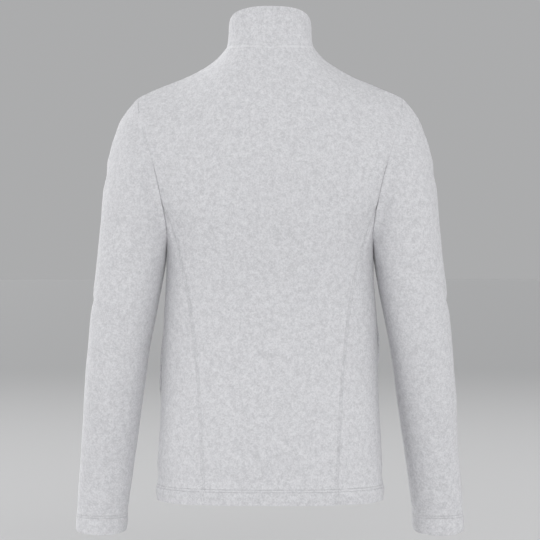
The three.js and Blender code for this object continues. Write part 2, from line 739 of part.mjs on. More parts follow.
// The path cut to run between two heights
function between(path, low, high) {
  const place = (z) => {
    const i = path.findIndex(({ point }) => point.z >= z);
    const [a, b] = [path[i - 1], path[i]];
    const t = (z - a.point.z) / (b.point.z - a.point.z);
    const mix = (key) => a[key].clone().lerp(b[key], t);
    return {
      point: mix('point'), along: mix('along').normalize(),
      across: mix('across').normalize(), out: mix('out').normalize(),
    };
  };
  const inside = path.filter(({ point }) => point.z > low + 1 && point.z < high - 1);
  return [place(low), ...inside, place(high)];
}

const keyOfFine = (p) => [p.x, p.y, p.z].map((n) => Math.round(n * 1e4)).join();

function asManifold(geometry) {
  const welded = new Map();
  const positions = geometry.getAttribute('position');
  const vertices = [];
  const order = Array.from({ length: positions.count }, (_, i) => {
    const point = v3().fromBufferAttribute(positions, i);
    const key = keyOfFine(point);
    if (!welded.has(key)) {
      welded.set(key, vertices.length / 3);
      vertices.push(point.x, point.y, point.z);
    }
    return welded.get(key);
  });
  const index = geometry.index ? Array.from(geometry.index.array) : order.map((_, i) => i);
  return new wasm.Manifold(new wasm.Mesh({
    numProp: 3,
    vertProperties: new Float32Array(vertices),
    triVerts: new Uint32Array(index.map((i) => order[i])),
  }));
}

function fromManifold(made) {
  const mesh = made.getMesh();
  const geometry = new THREE.BufferGeometry();
  geometry.setAttribute('position', new THREE.BufferAttribute(mesh.vertProperties, 3));
  geometry.setIndex(new THREE.BufferAttribute(mesh.triVerts, 1));
  return geometry;
}

// A flat plate from an outline in x and z, standing from y = front to y = back
function plate(outline, front, back, holes = []) {
  const shape = new THREE.Shape(outline.map(([x, z]) => new THREE.Vector2(x, z)));
  holes.forEach((hole) => shape.holes.push(
    new THREE.Path(hole.map(([x, z]) => new THREE.Vector2(x, z)))));
  return new THREE.ExtrudeGeometry(shape, { depth: back - front, bevelEnabled: false })
    .rotateX(Math.PI / 2).translate(0, back, 0);
}

const rectangle = (wide, low, high) =>
  [[-wide / 2, low], [wide / 2, low], [wide / 2, high], [-wide / 2, high]];

function shield(wide, low, high) {
  const cut = wide * 0.2;
  return [
    [-wide / 2 + cut, low], [wide / 2 - cut, low], [wide / 2, low + cut * 1.6],
    [wide / 2, high - cut], [wide / 2 - cut, high], [-wide / 2 + cut, high],
    [-wide / 2, high - cut], [-wide / 2, low + cut * 1.6],
  ];
}

// The slider's plate rests just over the chain; its back plate lies behind the tapes
function sliderGeometry(zip) {
  const plateBack = zip.chainTop - 0.3;
  const plateFront = plateBack - SLIDER.plate;
  const backFront = zip.tapeTop + TAPE_THICK + 1.1;
  const half = SLIDER.tall / 2;
  const archLow = -SLIDER.archTall / 2;
  const front = plate(shield(zip.plate, -half, half), plateFront, plateBack);
  const back = plate(shield(zip.plate, -half, half), backFront, backFront + 1);
  const web = plate(rectangle(SLIDER.web, -half + 1, half - 1), plateBack - 0.4, backFront + 0.4);
  const arch = new THREE.Shape([
    [-SLIDER.archOut, archLow], [0.4, archLow], [0.4, archLow + SLIDER.wall],
    [SLIDER.wall - SLIDER.archOut, archLow + SLIDER.wall],
    [SLIDER.wall - SLIDER.archOut, -archLow - SLIDER.wall],
    [0.4, -archLow - SLIDER.wall], [0.4, -archLow], [-SLIDER.archOut, -archLow],
  ].map(([y, z]) => new THREE.Vector2(y, z)));
  const bridge = new THREE.ExtrudeGeometry(arch, { depth: SLIDER.web, bevelEnabled: false })
    .applyMatrix4(new THREE.Matrix4().makeBasis(v3(0, 1, 0), v3(0, 0, 1), v3(1, 0, 0)))
    .translate(-SLIDER.web / 2, plateFront, 0);
  const joined = [front, back, web, bridge].map(asManifold).reduce((a, b) => a.add(b));
  return fromManifold(joined);
}

// The pull hangs from a bar in the bridge; the bar's middle is the pull's own origin
function pullGeometry() {
  const top = PULL.bar / 2;
  const low = top - PULL.long;
  const taper = PULL.wide * 0.16;
  const outline = [
    [-PULL.wide / 2 + taper, low], [PULL.wide / 2 - taper, low], [PULL.wide / 2, low + taper * 2],
    [PULL.wide / 2, low + PULL.long * 0.6], [PULL.wide / 2 - taper / 2, top - 0.8],
    [PULL.wide / 2 - taper, top], [-PULL.wide / 2 + taper, top],
    [-PULL.wide / 2 + taper / 2, top - 0.8], [-PULL.wide / 2, low + PULL.long * 0.6],
    [-PULL.wide / 2, low + taper * 2],
  ];
  const hole = rectangle(PULL.hole, -PULL.bar / 2 - PULL.slot, -PULL.bar / 2);
  return plate(outline, -PULL.thick / 2, PULL.thick / 2, [hole.reverse()]);
}
const pivotOut = (zip) =>
  zip.chainTop - 0.3 - SLIDER.plate - (SLIDER.archOut - SLIDER.wall) / 2;

function placeOn(mesh, frame, down) {
  const basis = new THREE.Matrix4().makeBasis(
    frame.across, frame.out.clone().negate(), frame.along);
  basis.setPosition(frame.point.clone().addScaledVector(frame.out, -down));
  basis.decompose(mesh.position, mesh.quaternion, mesh.scale);
}

function addZipEnds(prefix, zip, frame) {
  const square = { ...frame, across: frame.along.clone().cross(frame.out).normalize() };
  placeOn(add(`${prefix}_slider`, sliderGeometry(zip), METAL_GREY, 0.4, 0.6), square, 0);
  placeOn(add(`${prefix}_pull`, pullGeometry(), METAL_GREY, 0.45, 0.5), square, pivotOut(zip));
}

// Front zip, from the hem to the top of the collar
const frontColumn = panels.front_left.grid.map((row) => row[0]);
const collarColumn = panels.collar.grid.map((row) => row[0]).slice(1);
const edgeColumn = [...frontColumn, ...collarColumn];
const nextColumn = [...panels.front_left.grid.map((row) => row[1]),
  ...panels.collar.grid.map((row) => row[1]).slice(1)];
const centreFrames = frames(
  edgeColumn.map((point) => v3(0, point.y, point.z)),
  edgeColumn.map((point) => normalAt(point).setX(0).normalize()),
);
const zipTop = edgeColumn.at(-1).z - 0.6;
const zipBottom = edgeColumn[0].z + 1;
const sliderAt = zipTop - 1.5 - SLIDER.tall / 2;
const mirrorColumn = (column) => column.map((point) => v3(-point.x, point.y, point.z));

const aboveBox = (_, i) => edgeColumn[i].z > zipBottom + BOX.tall + 1;
const tapeFoot = (column) => {
  const [low, high] = [column[0], column.find((p) => p.z > zipBottom + BOX.tall)];
  const t = (zipBottom + BOX.tall + 0.3 - low.z) / (high.z - low.z);
  return { place: low.clone().lerp(high, t), normal: normalAt(high) };
};

for (const side of ['left', 'right']) {
  const place = side === 'left' ? (column) => column : mirrorColumn;
  const feet = [edgeColumn, nextColumn].map((column) => tapeFoot(column));
  const columns = [edgeColumn, nextColumn].map((column, k) =>
    [feet[k].place, ...column.filter(aboveBox)]);
  const placed = columns.map(place);
  feet.forEach((foot, k) => normals.set(keyOf(placed[k][0]),
    side === 'left' ? foot.normal : v3(-foot.normal.x, foot.normal.y, foot.normal.z)));
  add(`zip_tape_${side}`, strip(placed[0], placed[1], {
    from: TAPE_START - EDGE_X, to: TURN_X - EDGE_X - 1, depth: FRONT_ZIP.tapeTop,
    thick: TAPE_THICK, mirrored: side === 'right',
  }), TAPE_GREY, 0.85);
}
add('zip_chain', chain(between(centreFrames, zipBottom + BOX.tall + 0.3,
  sliderAt - SLIDER.tall / 2 - 0.4), FRONT_ZIP), TAPE_GREY, 0.6);
const sliderFrame = between(centreFrames, sliderAt, zipTop)[0];
addZipEnds('zip', FRONT_ZIP, sliderFrame);
const boxFrame = between(centreFrames, zipBottom + BOX.tall / 2, zipTop)[0];
placeOn(add('zip_box', plate(shield(BOX.wide, -BOX.tall / 2, BOX.tall / 2), 0, BOX.deep),
  METAL_GREY, 0.5), boxFrame, FRONT_ZIP.chainTop);

export default group;
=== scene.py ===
"""Looks of the fleece zip jacket: cloth, sewing, zips and pulls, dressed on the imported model."""

import logging
import math
from collections.abc import Iterable
from dataclasses import dataclass, field
from enum import Enum

import bmesh
import bpy
import numpy as np
from mathutils import Matrix, Vector, noise
from mathutils.bvhtree import BVHTree
from mathutils.kdtree import KDTree


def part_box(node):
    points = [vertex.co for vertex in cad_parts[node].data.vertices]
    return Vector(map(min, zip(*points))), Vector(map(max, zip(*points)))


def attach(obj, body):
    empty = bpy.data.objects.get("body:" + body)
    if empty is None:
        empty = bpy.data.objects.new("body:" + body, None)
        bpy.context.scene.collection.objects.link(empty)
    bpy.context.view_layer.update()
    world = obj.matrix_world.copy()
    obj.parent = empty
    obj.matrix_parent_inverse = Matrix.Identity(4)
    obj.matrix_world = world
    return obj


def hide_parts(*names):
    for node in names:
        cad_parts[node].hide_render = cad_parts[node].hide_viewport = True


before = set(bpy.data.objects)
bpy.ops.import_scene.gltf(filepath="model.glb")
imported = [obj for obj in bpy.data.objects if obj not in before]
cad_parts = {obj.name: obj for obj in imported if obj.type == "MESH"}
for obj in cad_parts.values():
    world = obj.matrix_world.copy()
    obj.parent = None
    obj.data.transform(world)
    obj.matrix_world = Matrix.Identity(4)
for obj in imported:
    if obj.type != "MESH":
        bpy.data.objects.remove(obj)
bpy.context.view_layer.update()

log = logging.getLogger("jacket")

MM = 0.001
MERGE = 5e-6
OUTSIDE = 1.0  # rays start this far from the middle of the jacket
SHARP = math.radians(50)

Number = float | int
HANDS = ("left", "right")

HEM_ROWS = (-650.8 * MM, 1.9 * MM)  # height of the hem's twin rows, and half their distance
CUFF_ROWS = (-701.9 * MM, 1.8 * MM)
SEAM_ROW = 2.0 * MM  # from the seam
EDGE_ROW = 6.5 * MM  # from the folded edge at the zip and at a pocket mouth
MOUTH = (-512 * MM, -361 * MM)  # heights of the pocket mouths
FAR = 1.0  # stands for no seam near

# Shader maths


class Flow:
    """What flows out of a node's socket, with maths written as expressions."""

    def __init__(self, tree: "Nodes", socket: bpy.types.NodeSocket) -> None:
        """Wraps one output socket of a tree."""
        self.tree = tree
        self.socket = socket

    def _maths(self, operation: str, first: "Flow | Number", second: "Flow | Number") -> "Flow":
        """One Math node of two values."""
        return self.tree.node("ShaderNodeMath", {"operation": operation}, {0: first, 1: second})

    def __add__(self, other: "Flow | Number") -> "Flow":
        """Sum."""
        return self._maths("ADD", self, other)

    def __radd__(self, other: Number) -> "Flow":
        """Sum with a number in front."""
        return self._maths("ADD", other, self)

    def __sub__(self, other: "Flow | Number") -> "Flow":
        """Difference."""
        return self._maths("SUBTRACT", self, other)

    def __rsub__(self, other: Number) -> "Flow":
        """Difference from a number in front."""
        return self._maths("SUBTRACT", other, self)

    def __mul__(self, other: "Flow | Number") -> "Flow":
        """Product."""
        return self._maths("MULTIPLY", self, other)

    def __rmul__(self, other: Number) -> "Flow":
        """Product with a number in front."""
        return self._maths("MULTIPLY", other, self)

    def __abs__(self) -> "Flow":
        """Size without the sign."""
        return self.tree.node("ShaderNodeMath", {"operation": "ABSOLUTE"}, {0: self})

    def between(self, low: Number, high: Number) -> "Flow":
        """The value set to run smoothly from 0 at low to 1 at high.

        Args:
            low: Value that gives 0.
            high: Value that gives 1.

        Returns:
            The new value.
        """
        settings = {"interpolation_type": "SMOOTHSTEP"}
        return self.tree.node("ShaderNodeMapRange", settings, {0: self, 1: low, 2: high})


class Nodes:
    """The node tree of one material."""

    def __init__(self, name: str) -> None:
        """Starts a material with an empty tree."""
        self.material = bpy.data.materials.new(name)
        self.material.use_nodes = True
        self.tree = self.material.node_tree
        self.tree.nodes.clear()

    def node(self, kind: str, settings: dict | None = None, inputs: dict | None = None,
             output: str | int = 0) -> Flow:
        """Adds a node.

        Args:
            kind: Node type.
            settings: Properties of the node, set before its sockets.
            inputs: Values or flows by socket name or number.
            output: Socket that is handed back.

        Returns:
            The flow out of the node.
        """
        made = self.tree.nodes.new(kind)
        for name, value in (settings or {}).items():
            setattr(made, name, value)
        for name, value in (inputs or {}).items():
            socket = made.inputs[name]
            if isinstance(value, Flow):
                self.tree.links.new(value.socket, socket)
            else:
                socket.default_value = value
        return Flow(self, made.outputs[output])

    def place(self, stretch: tuple[float, float, float] = (1, 1, 1)) -> Flow:
        """Object coordinates, with a pattern's own scale on each axis."""
        where = self.node("ShaderNodeTexCoord", output="Object")
        if stretch == (1, 1, 1):
            return where
        return self.node("ShaderNodeMapping", {}, {"Vector": where, "Scale": stretch})

    def measure(self, name: str) -> Flow:
        """A distance in metres that the cloth keeps at each of its points."""
        return self.node("ShaderNodeAttribute", {"attribute_name": name}, output="Fac")

    def line(self, distance: Flow, at: float, half: float) -> Flow:
        """A soft line, 1 where the distance has one value and 0 beyond half its width.

        Args:
            distance: Distance from a seam.
            at: Distance of the middle of the line.
            half: Half the line's width.

        Returns:
            A value from 0 to 1.
        """
        return 1 - abs(distance - at).between(0, half)

    def grain(self, size: float, where: Flow, detail: float = 2, rough: float = 0.5) -> Flow:
        """Soft noise.

        Args:
            size: Size of its spots in metres.
            where: Coordinates.
            detail: Number of finer layers.
            rough: Strength of the finer layers.

        Returns:
            A value around 0.5.
        """
        inputs = {"Vector": where, "Scale": 1 / size, "Detail": detail, "Roughness": rough}
        return self.node("ShaderNodeTexNoise", {}, inputs, output="Fac")

    def blend(self, amount: Flow, low: tuple[float, float, float],
              high: tuple[float, float, float]) -> Flow:
        """Colour between two, by an amount from 0 to 1."""
        inputs = {"Factor": amount, 6: (*low, 1), 7: (*high, 1)}
        return self.node("ShaderNodeMix", {"data_type": "RGBA"}, inputs, output=2)

    def blend_colours(self, amount: Flow, low: Flow, high: tuple[float, float, float]) -> Flow:
        """Colour between a pattern and one plain colour, by an amount from 0 to 1."""
        inputs = {"Factor": amount, 6: low, 7: (*high, 1)}
        return self.node("ShaderNodeMix", {"data_type": "RGBA"}, inputs, output=2)

    def bump(self, height: Flow, depth: float, strength: float, under: Flow | None = None) -> Flow:
        """Relief of a surface.

        Args:
            height: Value from 0 to 1.
            depth: What 1 stands for, in metres.
            strength: Share of the relief that shows.
            under: Relief that this one lies on.

        Returns:
            The new normal.
        """
        inputs = {"Height": height, "Distance": depth, "Strength": strength}
        if under is not None:
            inputs["Normal"] = under
        return self.node("ShaderNodeBump", {}, inputs)

    def finish(self, inputs: dict) -> bpy.types.Material:
        """Ends the tree with one shader.

        Args:
            inputs: Sockets of the shader.

        Returns:
            The material.
        """
        shader = self.node("ShaderNodeBsdfPrincipled", {}, inputs)
        output = self.tree.nodes.new("ShaderNodeOutputMaterial")
        self.tree.links.new(shader.socket, output.inputs["Surface"])
        return self.material


# Finishes


@dataclass(frozen=True)
class Fleece:
    """Brushed marl fleece: pale and darker fibres, a soft nap, cloth drawn in by its seams, painted
    shade in the seams and stitch rows, and a painted highlight on the collar seam's ridge.
    """

    name: str = "fleece"
    pale: tuple[float, float, float] = (0.705, 0.705, 0.724)
    deep: tuple[float, float, float] = (0.515, 0.515, 0.534)
    # Painted shade: the darker colour that the seams, the lines at the collar seam and the stitch rows
    # are drawn towards.
    painted_seam_shade: tuple[float, float, float] = (0.44, 0.44, 0.456)
    mottle: float = 7.0 * MM
    tuft: float = 2.6 * MM
    fibre: float = 0.9 * MM
    row_half: float = 0.75 * MM

    def material(self) -> bpy.types.Material:
        """The finished material."""
        nodes = Nodes(self.name)
        place = nodes.place()
        mottle = nodes.grain(self.mottle, place, detail=2, rough=0.6)
        tuft = nodes.grain(self.tuft, place, detail=2, rough=0.6)
        fibre = nodes.grain(self.fibre, nodes.place((1, 1, 0.5)), detail=3, rough=0.65)
        neck = nodes.measure("neck")
        ridge = 1 - neck.between(0.8 * MM, 2.6 * MM)
        # The ridge term lightens the marl along the collar seam's ridge: a painted highlight.
        shade = mottle * 0.3 + tuft * 0.4 + fibre * 0.3 + ridge * 0.1
        marl = nodes.blend(shade.between(0.34, 0.66), self.deep, self.pale)
        seam, rows, near = self._sewing(nodes)
        # At the collar seam, a thin line on the seam and a band beside it sink the bump a little and
        # darken the colour as painted shade.
        seam = seam + (1 - neck.between(0, 0.7 * MM)) + nodes.line(neck, 3.6 * MM, 1.4 * MM) * 1.2
        # How far the colour goes to the painted shade: in the seams, and in the stitch rows' dimples,
        # broken up by the tufts.
        depth = seam * 0.1 + rows * (tuft * 0.36)
        colour = nodes.blend_colours(depth.between(0, 1), marl, self.painted_seam_shade)
        pucker = nodes.grain(4.5 * MM, nodes.place((1, 1, 0.3)), detail=1)
        drawn = pucker * near * 0.3 + ridge * 0.2 - seam * 0.15 - rows * 0.2
        sewn = nodes.bump(drawn, 1.0 * MM, 1.0)
        swell = nodes.bump(mottle, 1.2 * MM, 0.5, sewn)
        tufted = nodes.bump(tuft, 0.8 * MM, 0.5, swell)
        nap = nodes.bump(fibre, 0.4 * MM, 0.55, tufted)
        return nodes.finish({
            "Base Color": colour, "Roughness": tuft * 0.12 + 0.86, "Normal": nap,
            "Sheen Weight": 0.22, "Sheen Roughness": 0.5, "Specular IOR Level": 0.15,
        })

    def _sewing(self, nodes: Nodes) -> tuple[Flow, Flow, Flow]:
        """Where the cloth dips at a seam, where a row of stitches lies, and what is near one."""
        seam = 1 - nodes.measure("seam").between(0, 1.6 * MM)
        sewn = nodes.line(nodes.measure("sewn"), SEAM_ROW, self.row_half)
        edge = nodes.line(nodes.measure("edge"), EDGE_ROW, self.row_half)
        hem = abs(nodes.measure("hem"))
        turned = nodes.line(hem, HEM_ROWS[1], self.row_half) * 1.8
        near = (1 - hem.between(1.5 * MM, 11 * MM)) + (1 - nodes.measure("sewn").between(0, 9 * MM))
        return seam, sewn + edge + turned, near


@dataclass(frozen=True)
class Woven:
    """Woven zip tape with fine ribs across it."""

    name: str = "zip_tape"
    colour: tuple[float, float, float] = (0.5, 0.5, 0.515)
    shade: tuple[float, float, float] = (0.4, 0.4, 0.415)
    rib: float = 0.9 * MM

    def material(self) -> bpy.types.Material:
        """The finished material."""
        nodes = Nodes(self.name)
        place = nodes.place()
        ribs = nodes.node("ShaderNodeTexWave", {"bands_direction": "Z"},
                          {"Vector": place, "Scale": 0.314 / self.rib, "Distortion": 0.6,
                           "Detail": 1.0}, output="Fac")
        yarn = nodes.grain(1.1 * MM, place, detail=2)
        colour = nodes.blend((ribs * 0.6 + yarn * 0.4).between(0.1, 0.9), self.shade, self.colour)
        relief = nodes.bump(ribs, 0.3 * MM, 0.6, nodes.bump(yarn, 0.2 * MM, 0.4))
        return nodes.finish({
            "Base Color": colour, "Roughness": yarn * 0.1 + 0.72, "Normal": relief,
            "Sheen Weight": 0.1, "Specular IOR Level": 0.3,
        })


@dataclass(frozen=True)
class Thread:
    """Polyester sewing thread, two plies twisted."""

    name: str = "thread"
    colour: tuple[float, float, float] = (0.6, 0.6, 0.615)
    shade: tuple[float, float, float] = (0.46, 0.46, 0.475)

    def material(self) -> bpy.types.Material:
        """The finished material."""
        nodes = Nodes(self.name)
        twist = nodes.grain(0.35 * MM, nodes.place((1, 1, 1.6)), detail=1)
        colour = nodes.blend(twist.between(0.35, 0.65), self.shade, self.colour)
        return nodes.finish({
            "Base Color": colour, "Roughness": 0.55, "Normal": nodes.bump(twist, 0.1 * MM, 0.5),
            "Specular IOR Level": 0.4,
        })


@dataclass(frozen=True)
class CoilNylon:
    """Moulded nylon of the zip coils."""

    name: str = "zip_coil"
    colour: tuple[float, float, float] = (0.5, 0.5, 0.52)
    shade: tuple[float, float, float] = (0.4, 0.4, 0.42)

    def material(self) -> bpy.types.Material:
        """The finished material."""
        nodes = Nodes(self.name)
        cloud = nodes.grain(2.5 * MM, nodes.place(), detail=2)
        colour = nodes.blend(cloud.between(0.3, 0.7), self.shade, self.colour)
        return nodes.finish({
            "Base Color": colour, "Roughness": cloud * 0.15 + 0.36,
            "Normal": nodes.bump(cloud, 0.05 * MM, 0.3), "Specular IOR Level": 0.5,
        })


@dataclass(frozen=True)
class SatinEnamel:
    """Satin grey enamel on cast zinc, a little worn."""

    name: str = "zip_metal"
    colour: tuple[float, float, float] = (0.36, 0.37, 0.385)
    worn: tuple[float, float, float] = (0.5, 0.505, 0.52)

    def material(self) -> bpy.types.Material:
        """The finished material."""
        nodes = Nodes(self.name)
        place = nodes.place()
        cloud = nodes.grain(3 * MM, place, detail=3)
        speck = nodes.grain(0.5 * MM, place, detail=2)
        wear = (cloud * 0.7 + speck * 0.3).between(0.52, 0.66)
        return nodes.finish({
            "Base Color": nodes.blend(wear, self.colour, self.worn),
            "Metallic": wear * 0.3 + 0.55, "Roughness": cloud * 0.2 + 0.3,
            "Normal": nodes.bump(speck, 0.04 * MM, 0.35),
        })


class Finishes:
    """Every material of the jacket, made once."""

    def __init__(self) -> None:
        """Makes the materials."""
        self.fleece = Fleece().material()
        self.tape = Woven().material()
        self.thread = Thread().material()
        self.coil = CoilNylon().material()
        self.metal = SatinEnamel().material()


# Shared helpers for shapes


def merged_copy(node: str) -> bmesh.types.BMesh:
    """A node's solid as one joined shape.

    Args:
        node: Name of the node.

    Returns:
        The shape, with its doubles merged.
    """
    shape = bmesh.new()
    shape.from_mesh(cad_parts[node].data)
    bmesh.ops.remove_doubles(shape, verts=shape.verts[:], dist=MERGE)
    return shape


def placed(name: str, shape: bmesh.types.BMesh, finish: bpy.types.Material,
           smooth: bool = True) -> bpy.types.Object:
    """Makes a piece from a shape.

    Args:
        name: Name of the piece.
        shape: Its shape, which is used up.
        finish: Its material.
        smooth: Whether its faces are shaded round.

    Returns:
        The piece, at the origin.
    """
    mesh = bpy.data.meshes.new(name)
    for face in shape.faces:
        face.smooth = smooth
    shape.to_mesh(mesh)
    shape.free()
    piece = bpy.data.objects.new(name, mesh)
    bpy.context.scene.collection.objects.link(piece)
    mesh.materials.clear()
    mesh.materials.append(finish)
    return piece


def settle(piece: bpy.types.Object) -> None:
    """Makes a piece's modifiers part of its mesh."""
    graph = bpy.context.evaluated_depsgraph_get()
    mesh = bpy.data.meshes.new_from_object(piece.evaluated_get(graph))
    mesh.name = piece.name
    piece.modifiers.clear()
    piece.data = mesh


def points_of(mesh: bpy.types.Mesh) -> np.ndarray:
    """The places of a mesh's vertices, one row each."""
    flat = np.zeros(len(mesh.vertices) * 3, np.float32)
    mesh.vertices.foreach_get("co", flat)
    return flat.reshape(-1, 3).astype(float)


def bevelled_copy(node: str, name: str, width: float, finish: bpy.types.Material,
                  segments: int = 2) -> bpy.types.Object:
    """A hard part with its edges rounded.

    Args:
        node: Node that it stands for.
        name: Name of the piece.
        width: Width of the rounding.
        finish: Its material.
        segments: Steps of the rounding.

    Returns:
        The piece.
    """
    shape = merged_copy(node)
    bmesh.ops.dissolve_limit(shape, angle_limit=math.radians(4), verts=shape.verts[:],
                             edges=shape.edges[:])
    edges = [e for e in shape.edges if e.calc_face_angle(0) > math.radians(30)]
    bmesh.ops.bevel(shape, geom=edges, offset=width, offset_type="OFFSET", segments=segments,
                    profile=0.5, affect="EDGES", material=-1, clamp_overlap=True)
    bmesh.ops.triangulate(shape, faces=[f for f in shape.faces if len(f.verts) > 4])
    return placed(name, shape, finish)


# Folds of the cloth


class Side(Enum):
    """Direction that a spot on the jacket is looked at from."""

    BACK = (0, -1, 0)
    FRONT = (0, 1, 0)
    LEFT = (-1, 0, 0)
    RIGHT = (1, 0, 0)

    def spot(self, across: float, height: float) -> tuple[Vector, Vector]:
        """Start and direction of a ray onto the jacket."""
        look = Vector(self.value)
        start = Vector((across, 0, height)) if look.y else Vector((0, across, height))
        return start - look * OUTSIDE, look

    def mirrored(self) -> "Side":
        """The side that is its mirror image."""
        return {Side.LEFT: Side.RIGHT, Side.RIGHT: Side.LEFT}.get(self, self)


@dataclass(frozen=True)
class Fold:
    """One soft trough or ridge. Sizes are in millimetres, and a trough's rise is negative."""

    side: Side
    path: tuple[tuple[float, float], ...]
    width: float
    rise: float

    def mirrored(self, share: float) -> "Fold":
        """The fold on the other half, with its rise scaled."""
        sign = -1 if self.side in (Side.BACK, Side.FRONT) else 1
        path = tuple((sign * across, height) for across, height in self.path)
        return Fold(self.side.mirrored(), path, self.width, self.rise * share)


BACK, FRONT, LEFT = Side.BACK, Side.FRONT, Side.LEFT
FOLDS = (
    Fold(BACK, ((204, -105), (190, -150), (177, -200), (168, -262)), 17, -3.4),
    Fold(BACK, ((176, -205), (166, -240), (160, -290)), 10, -2.2),
    Fold(BACK, ((150, -250), (128, -272), (100, -285)), 16, -1.2),
    Fold(BACK, ((158, -228), (136, -240), (112, -244)), 13, 1.1),
    Fold(BACK, ((88, -548), (66, -588), (34, -612)), 24, -1.6),
    Fold(BACK, ((60, -530), (34, -566), (6, -580)), 26, 1.0),
    Fold(BACK, ((120, -480), (128, -540), (132, -600)), 18, -1.1),
    Fold(BACK, ((58, 24), (50, 8), (44, -14)), 9, -1.1),
    Fold(BACK, ((36, 44), (32, 20), (34, 2)), 8, 0.7),
    Fold(BACK, ((-66, 2), (-40, 0), (0, 0), (40, 0), (66, 2)), 4.5, 0.6),
    Fold(BACK, ((-62, -9), (-36, -10), (0, -10), (36, -10), (62, -9)), 7, -0.6),
    Fold(BACK, ((232, -150), (214, -160), (196, -168)), 14, -1.0),
    Fold(BACK, ((262, -400), (238, -410), (208, -404)), 13, -1.5),
    Fold(BACK, ((268, -424), (246, -436), (214, -440)), 12, 1.2),
    Fold(BACK, ((272, -462), (244, -468), (216, -456)), 14, -1.4),
    Fold(BACK, ((252, -336), (226, -342), (196, -330)), 14, -1.1),
    Fold(BACK, ((280, -560), (256, -574), (230, -570)), 14, -0.9),
    Fold(BACK, ((282, -652), (262, -660), (236, -654)), 12, -1.0),
    Fold(FRONT, ((160, -205), (140, -252), (104, -290)), 18, -5.7),
    Fold(FRONT, ((172, -170), (150, -205), (122, -224)), 14, 3.8),
    Fold(FRONT, ((70, -120), (62, -190), (40, -250)), 26, -3.4),
    Fold(FRONT, ((96, -400), (72, -440), (40, -452)), 24, -3.8),
    Fold(FRONT, ((110, -520), (84, -560), (52, -590)), 22, -4.2),
    Fold(FRONT, ((92, -600), (60, -620), (30, -622)), 18, 2.8),
    Fold(FRONT, ((258, -392), (232, -404), (200, -410)), 13, -5.4),
    Fold(FRONT, ((264, -420), (236, -432), (206, -428)), 11, 4.1),
    Fold(FRONT, ((268, -450), (244, -462), (212, -452)), 13, -4.8),
    Fold(FRONT, ((276, -560), (250, -570), (224, -560)), 14, -3.2),
    Fold(FRONT, ((280, -640), (256, -652), (232, -644)), 12, -3.4),
    Fold(FRONT, ((46, 12), (44, -2), (50, -14)), 8, -2.2),
    Fold(FRONT, ((150, -150), (118, -200), (84, -232), (50, -244)), 22, -5.1),
    Fold(FRONT, ((128, -330), (100, -372), (58, -396)), 26, -4.5),
    Fold(FRONT, ((120, -350), (92, -412), (48, -436)), 20, 3.3),
    Fold(FRONT, ((60, -470), (46, -540), (42, -610)), 30, 3.9),
    Fold(FRONT, ((226, -200), (206, -226), (180, -236)), 16, -3.6),
    Fold(LEFT, ((34, -350), (12, -376), (-20, -384)), 15, -2.7),
    Fold(LEFT, ((10, -180), (-18, -214), (-30, -262)), 18, -3.4),
    Fold(LEFT, ((-14, -420), (-30, -432), (-52, -424)), 13, -3.8),
)
OTHER_HALF = (0.8, 1.15, 0.9, 1.05)  # shares of the rise on the other half, in turn
WAVER_SEED = 7  # keeps the cloth's soft unevenness the same in every run


@dataclass(frozen=True)
class Band:
    """A level trough or ridge round a tube of cloth, in millimetres."""

    of_sleeve: bool
    height: float
    width: float
    rise: float


UNDERARM_REST = (-302 * MM, 34 * MM, 1.7 * MM)  # where and how far a sleeve leans on the body

BANDS = (
    Band(False, -637, 18, -1.7),
    Band(False, -658, 9, 1.1),
    Band(True, -690, 11, -0.8),
    Band(True, -714, 14, 0.5),
)


